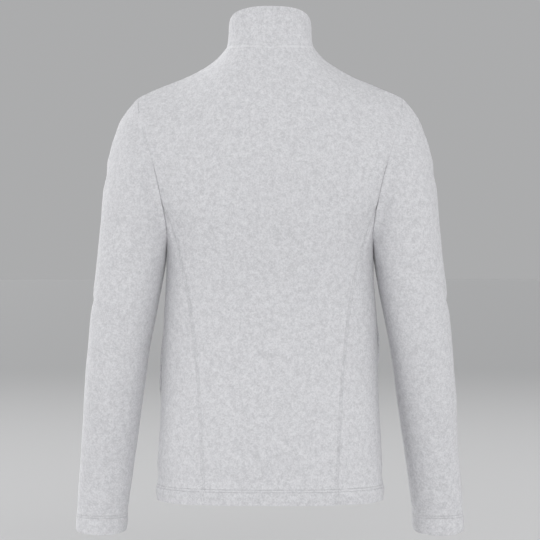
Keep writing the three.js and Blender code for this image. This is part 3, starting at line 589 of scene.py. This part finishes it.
class FoldField:
    """Moves of the cloth at any place, the same for every panel, so seams stay shut."""

    def __init__(self, folds: Iterable[Fold], surface: BVHTree) -> None:
        """Lays the folds on the jacket.

        Args:
            folds: Folds of one half. Each gets a partner on the other half.
            surface: The jacket's outside.
        """
        noise.seed_set(WAVER_SEED)
        self.laid = []
        for number, fold in enumerate(folds):
            share = OTHER_HALF[number % len(OTHER_HALF)]
            for each in (fold, fold.mirrored(share)):
                self.laid.append(self._laid(each, surface))

    @staticmethod
    def _laid(fold: Fold, surface: BVHTree) -> tuple[np.ndarray, np.ndarray, float, float]:
        """A fold's points and outward directions on the jacket, its width and its rise."""
        spots, outs = [], []
        for across, height in fold.path:
            start, look = fold.side.spot(across * MM, height * MM)
            hit, normal, _, _ = surface.ray_cast(start, look)
            if hit is None:
                continue
            spots.append(hit)
            outs.append(normal if normal.dot(look) < 0 else -normal)
        return np.array(spots), np.array(outs), fold.width * MM, fold.rise * MM

    def moved(self, points: np.ndarray, of_sleeve: bool) -> np.ndarray:
        """The places that points of the cloth move to.

        Args:
            points: Places, one row each.
            of_sleeve: Whether they are on a sleeve.

        Returns:
            The new places.
        """
        result = points.copy()
        for spots, outs, width, rise in self.laid:
            if len(spots) < 2:
                continue
            near = np.all((points > spots.min(0) - width) & (points < spots.max(0) + width), 1)
            if near.any():
                result[near] += self._push(points[near], spots, outs, width, rise)
        for band in BANDS:
            if band.of_sleeve == of_sleeve:
                result += self._band(points, band)
        if of_sleeve:
            height, reach, lean = UNDERARM_REST
            level = np.clip(1 - ((points[:, 2] - height) / reach) ** 2, 0, 1) ** 2
            inner = np.clip(np.abs(hearts(points, True)[:, 0]) - np.abs(points[:, 0]), 0, 0.04)
            result[:, 0] -= np.sign(points[:, 0]) * level * inner / 0.04 * lean
        for row, place in enumerate(points):
            where = Vector(place)
            soft = noise.noise_vector(where * 14) * 0.9 + noise.noise_vector(where * 34) * 0.4
            result[row] += np.array(soft) * MM
        return result

    @staticmethod
    def _band(points: np.ndarray, band: Band) -> np.ndarray:
        """How far one level band moves each point."""
        away = points - hearts(points, band.of_sleeve)
        away[:, 2] = 0
        away /= np.linalg.norm(away, axis=1)[:, None] + MERGE
        gap = (points[:, 2] / MM - band.height) / band.width
        profile = np.clip(1 - gap ** 2, 0, 1) ** 2
        uneven = 1 + 0.45 * np.sin(points[:, 0] * 61 + 1.3) * np.sin(points[:, 0] * 143 + 0.4)
        return away * (profile * uneven * band.rise * MM)[:, None]

    @staticmethod
    def _push(points: np.ndarray, spots: np.ndarray, outs: np.ndarray, width: float,
              rise: float) -> np.ndarray:
        """How far one fold moves each point."""
        closest = np.full(len(points), np.inf)
        along = np.zeros(len(points))
        out = np.zeros_like(points)
        steps = len(spots) - 1
        for step in range(steps):
            run = spots[step + 1] - spots[step]
            share = np.clip((points - spots[step]) @ run / (run @ run), 0, 1)
            gap = np.linalg.norm(points - spots[step] - share[:, None] * run, axis=1)
            better = gap < closest
            closest[better] = gap[better]
            along[better] = (step + share[better]) / steps
            mix = outs[step] + share[:, None] * (outs[step + 1] - outs[step])
            out[better] = mix[better]
        profile = np.clip(1 - (closest / width) ** 2, 0, 1) ** 2
        ends = np.sin(np.pi * np.clip(along * 0.86 + 0.07, 0, 1)) ** 0.7
        return out * (profile * ends * rise)[:, None]


# Cloth


SLEEVE_HEART = ((-736, 257, -45), (-450, 230, 0), (-315, 206, 3), (-150, 150, -5))  # z, x, y
BODY_HEART = (0, -8, -150)  # x, y, and the highest that it goes


def hearts(points: np.ndarray, of_sleeve: bool) -> np.ndarray:
    """The places in the middle of the hollow that points of the cloth face away from.

    Args:
        points: Places, one row each.
        of_sleeve: Whether they are on a sleeve.

    Returns:
        One place for each point.
    """
    middle = points.copy()
    if of_sleeve:
        heights, across, deep = (np.array(row) * MM for row in zip(*SLEEVE_HEART))
        middle[:, 0] = np.sign(points[:, 0]) * np.interp(points[:, 2], heights, across)
        middle[:, 1] = np.interp(points[:, 2], heights, deep)
    else:
        middle[:, 0] = BODY_HEART[0] * MM
        middle[:, 1] = BODY_HEART[1] * MM
    middle[:, 2] = np.minimum(points[:, 2], BODY_HEART[2] * MM)
    return middle


class Join(Enum):
    """How a stretch of a panel's edge ends."""

    TOPSTITCHED = "seam with a row of stitches on each side"
    PLAIN = "seam without rows"
    NECK = "collar seam, where the turnings lie up and raise the cloth"
    EDGE = "folded edge with a row of stitches"
    FREE = "bare fold"


@dataclass
class SewingLine:
    """A line on the cloth, as places with the way out of the cloth and the way into the panel."""

    spots: np.ndarray
    outs: np.ndarray
    ins: np.ndarray
    joins: list[Join]

    def fine(self, joins: tuple[Join, ...], step: float = 1.0 * MM) -> tuple[np.ndarray, np.ndarray]:
        """Places a short step apart where the line has one of some joins, and its direction."""
        places, runs = [], []
        for first in range(len(self.spots) - 1):
            if self.joins[first] not in joins or self.joins[first + 1] not in joins:
                continue
            run = self.spots[first + 1] - self.spots[first]
            length = np.linalg.norm(run)
            count = max(1, math.ceil(length / step))
            for part in range(count):
                places.append(self.spots[first] + run * part / count)
                runs.append(run / max(length, MERGE))
        return np.array(places), np.array(runs)

    def stretches(self, join: Join) -> list[range]:
        """Runs of neighbouring places that have one join."""
        runs, start = [], None
        for number in range(len(self.joins) + 1):
            same = number < len(self.joins) and self.joins[number] is join
            if same and start is None:
                start = number
            if not same and start is not None:
                if number - start > 3:
                    runs.append(range(start, number))
                start = None
        return runs


def distances(points: np.ndarray, lines: list[SewingLine], joins: tuple[Join, ...]) -> np.ndarray:
    """How far points of the cloth are from the lines that have one of some joins.

    Args:
        points: Places, one row each.
        lines: Sewing lines.
        joins: Joins that count.

    Returns:
        One distance for each point.
    """
    parts = [line.fine(joins) for line in lines]
    parts = [part for part in parts if len(part[0])]
    if not parts:
        return np.full(len(points), FAR)
    places = np.concatenate([part[0] for part in parts])
    runs = np.concatenate([part[1] for part in parts])
    tree = KDTree(len(places))
    for number, place in enumerate(places):
        tree.insert(place, number)
    tree.balance()
    nearest = np.array([tree.find(point)[1] for point in points])
    apart = points - places[nearest]
    along = np.einsum("ij,ij->i", apart, runs[nearest])
    along = np.clip(along, -1.0 * MM, 1.0 * MM)
    return np.linalg.norm(apart - along[:, None] * runs[nearest], axis=1)


@dataclass
class ClothPanel:
    """One cut piece of fleece, as a thin shell with sharp, closed edges."""

    node: str
    cut: tuple[float, float]
    area: float | None = None
    levels: int = 2
    close_seam: float = 0.13 * MM
    close_mouth: float = 0.36 * MM
    mouth_gap: float = 0.6 * MM
    meets: str = ""
    outer_share: float = 0.2  # least share of the area that a side of the cloth has
    fine_reach: float = 8.0 * MM
    piece: bpy.types.Object | None = field(default=None, init=False)
    tree: BVHTree | None = field(default=None, init=False)
    lines: list[SewingLine] = field(default_factory=list, init=False)

    @property
    def of_sleeve(self) -> bool:
        """Whether the panel is a sleeve."""
        return self.node.startswith("sleeve")

    def build(self, folds: FoldField, finish: bpy.types.Material) -> None:
        """Makes the panel.

        Args:
            folds: Folds of the cloth.
            finish: Its material.
        """
        shape = merged_copy(self.node)
        bmesh.ops.join_triangles(shape, faces=shape.faces[:],
                                 angle_face_threshold=math.radians(35),
                                 angle_shape_threshold=math.radians(60))
        self._keep_rims(shape)
        self.piece = placed(self.node + "_cloth", shape, finish)
        finer = self.piece.modifiers.new("finer", "SUBSURF")
        finer.levels = finer.render_levels = self.levels
        settle(self.piece)
        mesh = self.piece.data
        moved = folds.moved(points_of(mesh), self.of_sleeve)
        mesh.vertices.foreach_set("co", moved.astype(np.float32).ravel())
        mesh.update()
        shape = bmesh.new()
        shape.from_mesh(mesh)
        self.tree = BVHTree.FromBMesh(shape)
        shape.free()
        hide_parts(self.node)
        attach(self.piece, "jacket")

    def _keep_rims(self, shape: bmesh.types.BMesh) -> None:
        """Keeps the cut edges sharp and moves them almost onto the next panel."""
        crease = shape.edges.layers.float.new("crease_edge")
        rims = [e for e in shape.edges if e.calc_face_angle(0) > SHARP]
        outward = {}
        for edge in rims:
            edge[crease] = 1.0
            edge.smooth = False
            narrow = min(edge.link_faces, key=lambda face: face.calc_area())
            for corner in edge.verts:
                outward[corner] = outward.get(corner, Vector()) + narrow.normal
        for corner, way in outward.items():
            way = way.normalized()
            at_mouth = at_pocket(corner.co) and abs(way.z) < 0.5
            if at_mouth and self.node.startswith("front"):
                corner.co += way * (self.close_seam + self.close_mouth)
            elif not (at_mouth and self.meets):
                corner.co += way * self.close_seam
        if self.meets:
            self._meet_front([corner for corner in outward if at_pocket(corner.co)])

    def _meet_front(self, corners: list[bmesh.types.BMVert]) -> None:
        """Lets the back edge of a pocket mouth swell out with the front edge."""
        surface = outside_of([self.meets])
        heights = {round(corner.co.z / MM) for corner in corners}
        for height in heights:
            level = [corner for corner in corners if round(corner.co.z / MM) == height]
            foremost = min(corner.co.y for corner in level)
            level = [corner for corner in level if corner.co.y < foremost + 1.0 * MM]
            outer = max(level, key=lambda corner: abs(corner.co.x))
            hit, _, _, gap = surface.find_nearest(outer.co)
            step = (hit - outer.co) * max(0, gap - self.mouth_gap) / max(gap, MERGE)
            for corner in level:
                corner.co += step

    def find_lines(self, others: list["ClothPanel"]) -> None:
        """Finds the panel's outer edges and how each stretch of them ends.

        Args:
            others: The other panels.
        """
        shape = bmesh.new()
        shape.from_mesh(self.piece.data)
        shape.normal_update()
        outer = self._outer_faces(shape)
        rims = [e for e in shape.edges if e.calc_face_angle(0) > SHARP
                and any(face in outer for face in e.link_faces)]
        for chain in chains(rims):
            self.lines.append(self._line(chain, outer, others))
        if self.of_sleeve:
            self.lines.append(self._underarm())
        shape.free()

    def _outer_faces(self, shape: bmesh.types.BMesh) -> set[bmesh.types.BMFace]:
        """The faces of the side of the cloth that shows."""
        whole = sum(face.calc_area() for face in shape.faces)
        left = set(shape.faces)
        outer = set()
        while left:
            region = {left.pop()}
            edge_of = list(region)
            while edge_of:
                for edge in edge_of.pop().edges:
                    if edge.calc_face_angle(0) > SHARP:
                        continue
                    for face in edge.link_faces:
                        if face in left:
                            left.discard(face)
                            region.add(face)
                            edge_of.append(face)
            if sum(face.calc_area() for face in region) < self.outer_share * whole:
                continue
            faces = list(region)
            middles = np.array([face.calc_center_median() for face in faces])
            normals = np.array([face.normal for face in faces])
            away = middles - hearts(middles, self.of_sleeve)
            facing = np.einsum("ij,ij->i", away, normals) / np.linalg.norm(away, axis=1)
            if facing.mean() > -0.2:
                outer.update(face for face, share in zip(faces, facing) if share > -0.2)
        return outer

    def _line(self, chain: list[bmesh.types.BMVert], outer: set[bmesh.types.BMFace],
              others: list["ClothPanel"]) -> SewingLine:
        """One edge of the panel as a sewing line."""
        count = len(chain)
        spots, outs, ins, joins = [], [], [], []
        for number, corner in enumerate(chain):
            run = chain[(number + 1) % count].co - chain[number - 1].co
            faces = [face for face in corner.link_faces if face in outer]
            out = sum((face.normal for face in faces), Vector()).normalized()
            middle = sum((face.calc_center_median() for face in faces), Vector()) / len(faces)
            into = out.cross(run).normalized()
            if into.dot(middle - corner.co) < 0:
                into = -into
            spots.append(corner.co)
            outs.append(out)
            ins.append(into)
            joins.append(self._join(corner.co, others))
        return SewingLine(np.array(spots), np.array(outs), np.array(ins), joins)

    def _join(self, place: Vector, others: list["ClothPanel"]) -> Join:
        """How the panel ends at a place on its edge."""
        kind = self.node.split("_")[0]
        if kind in ("front", "collar") and abs(place.x) < 8 * MM:
            return Join.EDGE
        for other in others:
            if other is self or other.tree.find_nearest(place, 1.6 * MM)[0] is None:
                continue
            pair = {kind, other.node.split("_")[0]}
            if pair == {"front", "side"} and MOUTH[0] < place.z < MOUTH[1]:
                return Join.EDGE if kind == "front" else Join.FREE
            if pair in ({"back", "side"}, {"front", "side"}):
                return Join.TOPSTITCHED
            if "pocket" not in pair:
                return Join.NECK if "collar" in pair else Join.PLAIN
        return Join.FREE

    def _underarm(self) -> SewingLine:
        """The sleeve's own long seam, up its inner side."""
        hand = 1 if self.node.endswith("left") else -1
        spots, outs = [], []
        for height in np.arange(-734, -316, 6.0):
            middle = hearts(np.array([[hand, 0, height * MM]]), True)[0]
            start = Vector((0, middle[1], height * MM))
            hit, normal, _, _ = self.tree.ray_cast(start, Vector((hand, 0, 0)))
            if hit is not None:
                spots.append(hit)
                outs.append(normal)
        return SewingLine(np.array(spots), np.array(outs), np.array(outs),
                          [Join.PLAIN] * len(spots))

    def gaps(self, points: np.ndarray) -> dict[str, np.ndarray]:
        """How far points are from each kind of sewing.

        Args:
            points: Places on the panel, one row each.

        Returns:
            Distances by the name that the finish reads. The one from the hem has a sign.
        """
        if self.node.startswith(("back", "front", "side", "sleeve")):
            hem = points[:, 2] - (CUFF_ROWS if self.of_sleeve else HEM_ROWS)[0]
        else:
            hem = np.full(len(points), FAR)
        return {
            "seam": distances(points, self.lines, (Join.TOPSTITCHED, Join.PLAIN)),
            "sewn": distances(points, self.lines, (Join.TOPSTITCHED,)),
            "neck": distances(points, self.lines, (Join.NECK,)),
            "edge": distances(points, self.lines, (Join.EDGE,)),
            "hem": hem,
        }

    def press_seams(self) -> None:
        """Divides the cloth finely by its sewing and draws it in there, on the side that shows."""
        shape = bmesh.new()
        shape.from_mesh(self.piece.data)
        gaps = self.gaps(points_of(self.piece.data))
        close = np.minimum.reduce([np.abs(gap) for gap in gaps.values()]) < self.fine_reach
        shape.verts.ensure_lookup_table()
        fine = [e for e in shape.edges if close[e.verts[0].index] and close[e.verts[1].index]]
        bmesh.ops.subdivide_edges(shape, edges=fine, cuts=1, use_grid_fill=True)
        shape.normal_update()
        shape.verts.index_update()
        outer = self._outer_faces(shape)
        points = np.array([corner.co for corner in shape.verts])
        relief = self._relief(points, self.gaps(points))
        for corner, rise in zip(shape.verts, relief):
            faces = [face for face in corner.link_faces if face in outer]
            if faces and rise:
                out = sum((face.normal for face in faces), Vector()).normalized()
                corner.co += out * rise
        for edge in shape.edges:
            edge.smooth = edge.calc_face_angle(0) <= SHARP
        self.tree = BVHTree.FromBMesh(shape)
        shape.to_mesh(self.piece.data)
        shape.free()

    @staticmethod
    def _relief(points: np.ndarray, gaps: dict[str, np.ndarray]) -> np.ndarray:
        """How far each point of the cloth rises or sinks by the sewing, in metres."""
        relief = -0.5 * swell(gaps["seam"], 0, 2.0 * MM)
        relief += 0.5 * swell(gaps["neck"], 0, 3.0 * MM) - 0.3 * swell(gaps["neck"], 0, 1.0 * MM)
        relief -= 0.3 * swell(gaps["sewn"], SEAM_ROW, 1.3 * MM)
        relief -= 0.35 * swell(gaps["edge"], EDGE_ROW, 1.5 * MM)
        hem = np.abs(gaps["hem"])
        relief -= 0.35 * swell(hem, HEM_ROWS[1], 1.5 * MM)
        near = swell(hem, 0, 10 * MM) + 0.6 * swell(gaps["sewn"], 0, 7 * MM)
        for row in np.flatnonzero(near > 0.02):
            where = Vector(points[row])
            relief[row] += 0.5 * near[row] * noise.noise(Vector((where.x, where.y, where.z * 0.4)) * 190)
        return relief * MM

    def measure(self) -> None:
        """Keeps each point's distance from the sewing, for the finish."""
        mesh = self.piece.data
        for name, values in self.gaps(points_of(mesh)).items():
            kept = mesh.attributes.new(name, "FLOAT", "POINT")
            kept.data.foreach_set("value", values.astype(np.float32))


def swell(gap: np.ndarray, at: float, half: float) -> np.ndarray:
    """A soft bump, 1 where a distance has one value and 0 beyond half the bump's width."""
    return np.clip(1 - ((gap - at) / half) ** 2, 0, 1) ** 2


def at_pocket(place: Vector) -> bool:
    """Whether a place is level with a pocket mouth, at the side of the body."""
    return MOUTH[0] - MM < place.z < MOUTH[1] + MM and abs(place.x) > 0.1


def chains(edges: list[bmesh.types.BMEdge]) -> list[list[bmesh.types.BMVert]]:
    """Puts edges in order, end to end.

    Args:
        edges: Edges.

    Returns:
        The corners of each chain in order. A closed one ends where it starts.
    """
    near = {}
    for edge in edges:
        for corner in edge.verts:
            near.setdefault(corner, []).append(edge)
    unused = set(edges)
    found = []
    starts = sorted(near, key=lambda corner: (len(near[corner]) != 1, corner.index))
    for start in starts:
        while any(edge in unused for edge in near[start]):
            chain = [start]
            while True:
                onward = [edge for edge in near[chain[-1]] if edge in unused]
                if not onward:
                    break
                unused.discard(onward[0])
                chain.append(onward[0].other_vert(chain[-1]))
            found.append(chain)
    return [chain for chain in found if len(chain) > 3]


class JacketCloth:
    """All fleece panels of the jacket."""

    def __init__(self) -> None:
        """Lists the panels with the size that each was cut to, in metres."""
        self.panels = [
            ClothPanel("back_panel", (0.42, 0.69), area=0.2),
            *(ClothPanel(f"side_panel_{hand}", (0.15, 0.44), area=0.047, meets=f"front_{hand}")
              for hand in HANDS),
            *(ClothPanel(f"front_{hand}", (0.25, 0.68), area=0.127) for hand in HANDS),
            *(ClothPanel(f"sleeve_{hand}", (0.34, 0.70), area=0.172) for hand in HANDS),
            ClothPanel("collar", (0.37, 0.062)),
            *(ClothPanel(f"pocket_bag_{hand}", (0.12, 0.25), levels=1) for hand in HANDS),
        ]

    def build(self, surface: BVHTree, finishes: Finishes) -> None:
        """Makes every panel.

        Args:
            surface: The jacket's outside.
            finishes: Materials.
        """
        folds = FoldField(FOLDS, surface)
        for panel in self.panels:
            panel.build(folds, finishes.fleece)
        for panel in self.panels:
            panel.find_lines(self.panels)
        for panel in self.panels:
            panel.press_seams()
            panel.measure()
            area = sum(face.area for face in panel.piece.data.polygons) / 2
            joins = {join.name: sum(line.joins.count(join) for line in panel.lines) for join in Join}
            log.info("%s: %.4f square metres, edge places %s", panel.piece.name, area, joins)


# Sewing


@dataclass
class Stitching:
    """Rows of sewing thread that lie in the cloth."""

    pitch: float = 3.0 * MM
    half: tuple[float, float, float] = (1.28 * MM, 0.3 * MM, 0.24 * MM)
    sunk: float = 0.02 * MM
    tack_rows: int = 9
    tack_step: float = 0.7 * MM

    def build(self, panels: list[ClothPanel], finish: bpy.types.Material) -> None:
        """Sews every panel.

        Args:
            panels: The cloth.
            finish: The thread's material.
        """
        for panel in panels:
            shape = bmesh.new()
            rows = [*self._seam_rows(panel), *self._hem_rows(panel)]
            for row in rows:
                self._sew(shape, panel, row)
            if panel.node.startswith("front"):
                self._tacks(shape, panel)
            count = len(shape.faces)
            if not count:
                shape.free()
                continue
            piece = placed(panel.node + "_stitches", shape, finish)
            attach(piece, "jacket")
            log.info("%s: %d rows, %d faces", piece.name, len(rows), count)

    def _seam_rows(self, panel: ClothPanel) -> list[np.ndarray]:
        """Rows beside the panel's seams and folded edges."""
        rows = []
        for line in panel.lines:
            for join, gap in ((Join.TOPSTITCHED, SEAM_ROW), (Join.EDGE, EDGE_ROW)):
                for run in line.stretches(join):
                    picked = list(run)
                    rows.append(line.spots[picked] + line.ins[picked] * gap)
        return rows

    def _hem_rows(self, panel: ClothPanel) -> list[np.ndarray]:
        """The twin rows of a hem or a cuff."""
        if not panel.node.startswith(("back", "front", "side", "sleeve")):
            return []
        middle, half = CUFF_ROWS if panel.of_sleeve else HEM_ROWS
        rows = []
        for height in (middle - half, middle + half):
            shape = bmesh.new()
            shape.from_mesh(panel.piece.data)
            whole = [*shape.verts, *shape.edges, *shape.faces]
            cut = bmesh.ops.bisect_plane(shape, geom=whole, plane_co=(0, 0, height),
                                         plane_no=(0, 0, 1))["geom_cut"]
            edges = [e for e in cut if isinstance(e, bmesh.types.BMEdge)]
            rows += [np.array([corner.co for corner in chain])
                     for chain in chains([e for e in edges if self._shows(e, panel)])]
            shape.free()
        return rows

    @staticmethod
    def _shows(edge: bmesh.types.BMEdge, panel: ClothPanel) -> bool:
        """Whether a cut edge lies on the outer side of the cloth."""
        middle = np.array([(edge.verts[0].co + edge.verts[1].co) / 2])
        away = (middle - hearts(middle, panel.of_sleeve))[0]
        away /= np.linalg.norm(away)
        return all(face.normal.dot(away) > 0.3 for face in edge.link_faces)

    def _sew(self, shape: bmesh.types.BMesh, panel: ClothPanel, row: np.ndarray) -> None:
        """Adds the stitches of one row."""
        lengths = np.linalg.norm(np.diff(row, axis=0), axis=1)
        so_far = np.concatenate([[0], np.cumsum(lengths)])
        count = int(so_far[-1] / self.pitch)
        for number in range(count):
            at = (number + 0.5) * self.pitch
            ends = [Vector([np.interp(at + side, so_far, row[:, axis]) for axis in range(3)])
                    for side in (-self.pitch / 2, 0, self.pitch / 2)]
            self._stitch(shape, panel, ends[1], ends[2] - ends[0])

    def _stitch(self, shape: bmesh.types.BMesh, panel: ClothPanel, place: Vector,
                along: Vector) -> None:
        """Adds one stitch, lying on the cloth."""
        spot, out, _, _ = panel.tree.find_nearest(place)
        along = (along - out * along.dot(out)).normalized()
        turned = Matrix((along, out.cross(along), out)).transposed().to_4x4()
        matrix = Matrix.Translation(spot - out * self.sunk) @ turned
        bmesh.ops.create_icosphere(shape, subdivisions=1, radius=1,
                                   matrix=matrix @ Matrix.Diagonal((*self.half, 1)))

    def _tacks(self, shape: bmesh.types.BMesh, panel: ClothPanel) -> None:
        """Short dense bars that close a pocket mouth at its ends."""
        for line in panel.lines:
            for run in line.stretches(Join.EDGE):
                picked = [n for n in run if abs(line.spots[n][0]) > 0.1]
                if not picked:
                    continue
                for end, inward in ((picked[0], 1), (picked[-1], -1)):
                    along = Vector(line.spots[end + inward] - line.spots[end]).normalized()
                    for number in range(-self.tack_rows // 2, self.tack_rows // 2 + 1):
                        for share in (0.25, 0.7):
                            place = Vector(line.spots[end] + line.ins[end] * EDGE_ROW * share)
                            place += along * number * self.tack_step
                            self._stitch(shape, panel, place, Vector(line.ins[end]))


# Zips


@dataclass
class Zip:
    """One zip: two woven tapes, a coil chain, a slider and its pull tab."""

    tapes: tuple[str, ...]
    chain: str
    slider: str
    pull: str
    pull_body: str
    side: Side
    across: float
    tape_cut: tuple[float, float]
    box: str = ""
    pitch: float = 1.7 * MM
    reach: float = 3.1 * MM
    wire: float = 0.62 * MM
    sunk: float = 0.5 * MM
    tape_root: float = 4.0 * MM
    under: float = 1.2 * MM

    def build(self, finishes: Finishes) -> None:
        """Makes every piece of the zip.

        Args:
            finishes: Materials.
        """
        for tape in self.tapes:
            shape = merged_copy(tape)
            for corner in shape.verts:
                if abs(corner.co.x - self.across) < self.tape_root:
                    corner.co.x -= math.copysign(self.under, corner.co.x - self.across)
            piece = placed(tape + "_woven", shape, finishes.tape, smooth=False)
            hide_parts(tape)
            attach(piece, "jacket")
        self._coils(finishes.coil)
        for node, body in ((self.slider, "jacket"), (self.pull, self.pull_body),
                           (self.box, "jacket")):
            if node:
                piece = bevelled_copy(node, node + "_cast", 0.28 * MM, finishes.metal)
                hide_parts(node)
                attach(piece, body)

    def _coils(self, finish: bpy.types.Material) -> None:
        """The two rows of coils on their core."""
        solid = merged_copy(self.chain)
        surface = BVHTree.FromBMesh(solid)
        low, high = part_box(self.chain)
        route = self._route(surface, low.z, high.z)
        for corner in solid.verts:
            corner.co -= corner.normal * self.sunk
        length = sum((b[0] - a[0]).length for a, b in zip(route, route[1:]))
        count = int(length / self.pitch)
        for number in range(count):
            spot, along, out = along_route(route, (number + 0.5) / count)
            across = along.cross(out).normalized()
            for hand in (-1, 1):
                centre = spot + across * hand * self.reach * 0.52
                centre += along * hand * self.pitch / 4 - out * self.wire * 0.9
                turned = Matrix((across, along, out)).transposed().to_4x4()
                sizes = Matrix.Diagonal((self.reach / 2, self.wire, self.wire * 1.3, 1))
                bmesh.ops.create_icosphere(solid, subdivisions=1, radius=1,
                                           matrix=Matrix.Translation(centre) @ turned @ sizes)
        piece = placed(self.chain + "_coils", solid, finish)
        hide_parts(self.chain)
        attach(piece, "jacket")

    def _route(self, surface: BVHTree, low: float, high: float) -> list[tuple[Vector, Vector]]:
        """Points up the middle of the chain's outer face, with their outward direction."""
        route = []
        steps = 60
        for step in range(steps + 1):
            height = low + (high - low) * (0.004 + 0.992 * step / steps)
            start, look = self.side.spot(self.across, height)
            hit, normal, _, _ = surface.ray_cast(start, look)
            if hit is not None:
                route.append((hit, normal))
        return route


def along_route(route: list[tuple[Vector, Vector]], share: float) -> tuple[Vector, Vector, Vector]:
    """A place along a route.

    Args:
        route: Points with outward directions.
        share: Share of the way, from 0 to 1.

    Returns:
        The place, the way along and the way out.
    """
    at = share * (len(route) - 1)
    first = min(int(at), len(route) - 2)
    rest = at - first
    (low, low_out), (high, high_out) = route[first], route[first + 1]
    along = (high - low).normalized()
    out = low_out.lerp(high_out, rest)
    out = (out - along * out.dot(along)).normalized()
    return low.lerp(high, rest), along, out


ZIPS = (
    Zip(("zip_tape_left", "zip_tape_right"), "zip_chain", "zip_slider", "zip_pull",
        "zip_pull_tab", Side.FRONT, 0.0, (0.014, 0.70), box="zip_box"),
)


# Light, floor and camera


@dataclass(frozen=True)
class StudioFloor:
    """Pale matt floor with a painted falloff of light: a little darker far away, where it meets the
    backdrop.
    """

    name: str = "floor"
    near: tuple[float, float, float] = (0.62, 0.62, 0.624)
    far: tuple[float, float, float] = (0.375, 0.377, 0.381)

    def material(self) -> bpy.types.Material:
        """The finished material."""
        nodes = Nodes(self.name)
        away = nodes.node("ShaderNodeVectorMath", {"operation": "LENGTH"},
                          {0: nodes.place((1, 1, 0))}, output="Value")
        # Painted falloff of light: the colour darkens away from the middle towards the backdrop's tone.
        colour = nodes.blend(away.between(1.5, 9), self.near, self.far)
        return nodes.finish({"Base Color": colour, "Roughness": 0.9})


@dataclass
class Studio:
    """Pale floor, soft light and the camera."""

    distance: float = 3.0
    height: float = -0.33
    lens: float = 133.33
    floor_height: float = -0.9
    light_size: float = math.radians(50)

    def build(self) -> None:
        """Makes the floor, the world, the lights and the camera."""
        shape = bmesh.new()
        bmesh.ops.create_grid(shape, x_segments=1, y_segments=1, size=120,
                              matrix=Matrix.Translation((0, 0, self.floor_height)))
        floor = placed("floor", shape, StudioFloor().material(), smooth=False)
        world = bpy.data.worlds.new("studio")
        bpy.context.scene.world = world
        bpy.context.scene.view_settings.view_transform = "Standard"
        world.use_nodes = True
        background = world.node_tree.nodes["Background"]
        background.inputs["Color"].default_value = (0.93, 0.935, 0.945, 1)
        background.inputs["Strength"].default_value = 0.44
        for name, azimuth, elevation, strength in (
            ("back_light", 8, 8, 2.24), ("front_light", 220, 22, 2.0),
            ("left_light", -84, 7, 1.08), ("right_light", 96, 7, 0.94),
        ):
            self._light(name, math.radians(azimuth), math.radians(elevation), strength)
        self._camera()

    def _light(self, name: str, azimuth: float, elevation: float, strength: float) -> None:
        """A very soft far light.

        Args:
            name: Its name.
            azimuth: Way to it, turned to the right of the back as the back is seen.
            elevation: Height of it above the level.
            strength: Its strength.
        """
        lamp = bpy.data.lights.new(name, "SUN")
        lamp.angle = self.light_size
        lamp.energy = strength
        holder = bpy.data.objects.new(name, lamp)
        way = Vector((-math.sin(azimuth) * math.cos(elevation),
                      math.cos(azimuth) * math.cos(elevation), math.sin(elevation)))
        holder.rotation_euler = way.to_track_quat("Z", "Y").to_euler()
        bpy.context.scene.collection.objects.link(holder)

    def _camera(self) -> None:
        """The camera, level and square on to the back."""
        camera = bpy.data.cameras.new("camera")
        camera.lens = self.lens
        camera.sensor_width = 36
        holder = bpy.data.objects.new("camera", camera)
        holder.location = (0, self.distance, self.height)
        holder.rotation_euler = (math.radians(90), 0, math.radians(180))
        bpy.context.scene.collection.objects.link(holder)
        bpy.context.scene.camera = holder


def outside_of(nodes: Iterable[str]) -> BVHTree:
    """One surface of several solids, for rays."""
    whole = bmesh.new()
    for node in nodes:
        whole.from_mesh(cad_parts[node].data)
    tree = BVHTree.FromBMesh(whole)
    whole.free()
    return tree


def main() -> None:
    """Builds the jacket and the studio in order."""
    logging.basicConfig(level=logging.INFO, format="%(name)s: %(message)s", force=True)
    finishes = Finishes()
    cloth = JacketCloth()
    cloth.build(outside_of(panel.node for panel in cloth.panels), finishes)
    Stitching().build(cloth.panels, finishes.thread)
    for fastener in ZIPS:
        fastener.build(finishes)
        log.info("%s done", fastener.chain)
    Studio().build()


if __name__ == "__main__":
    main()
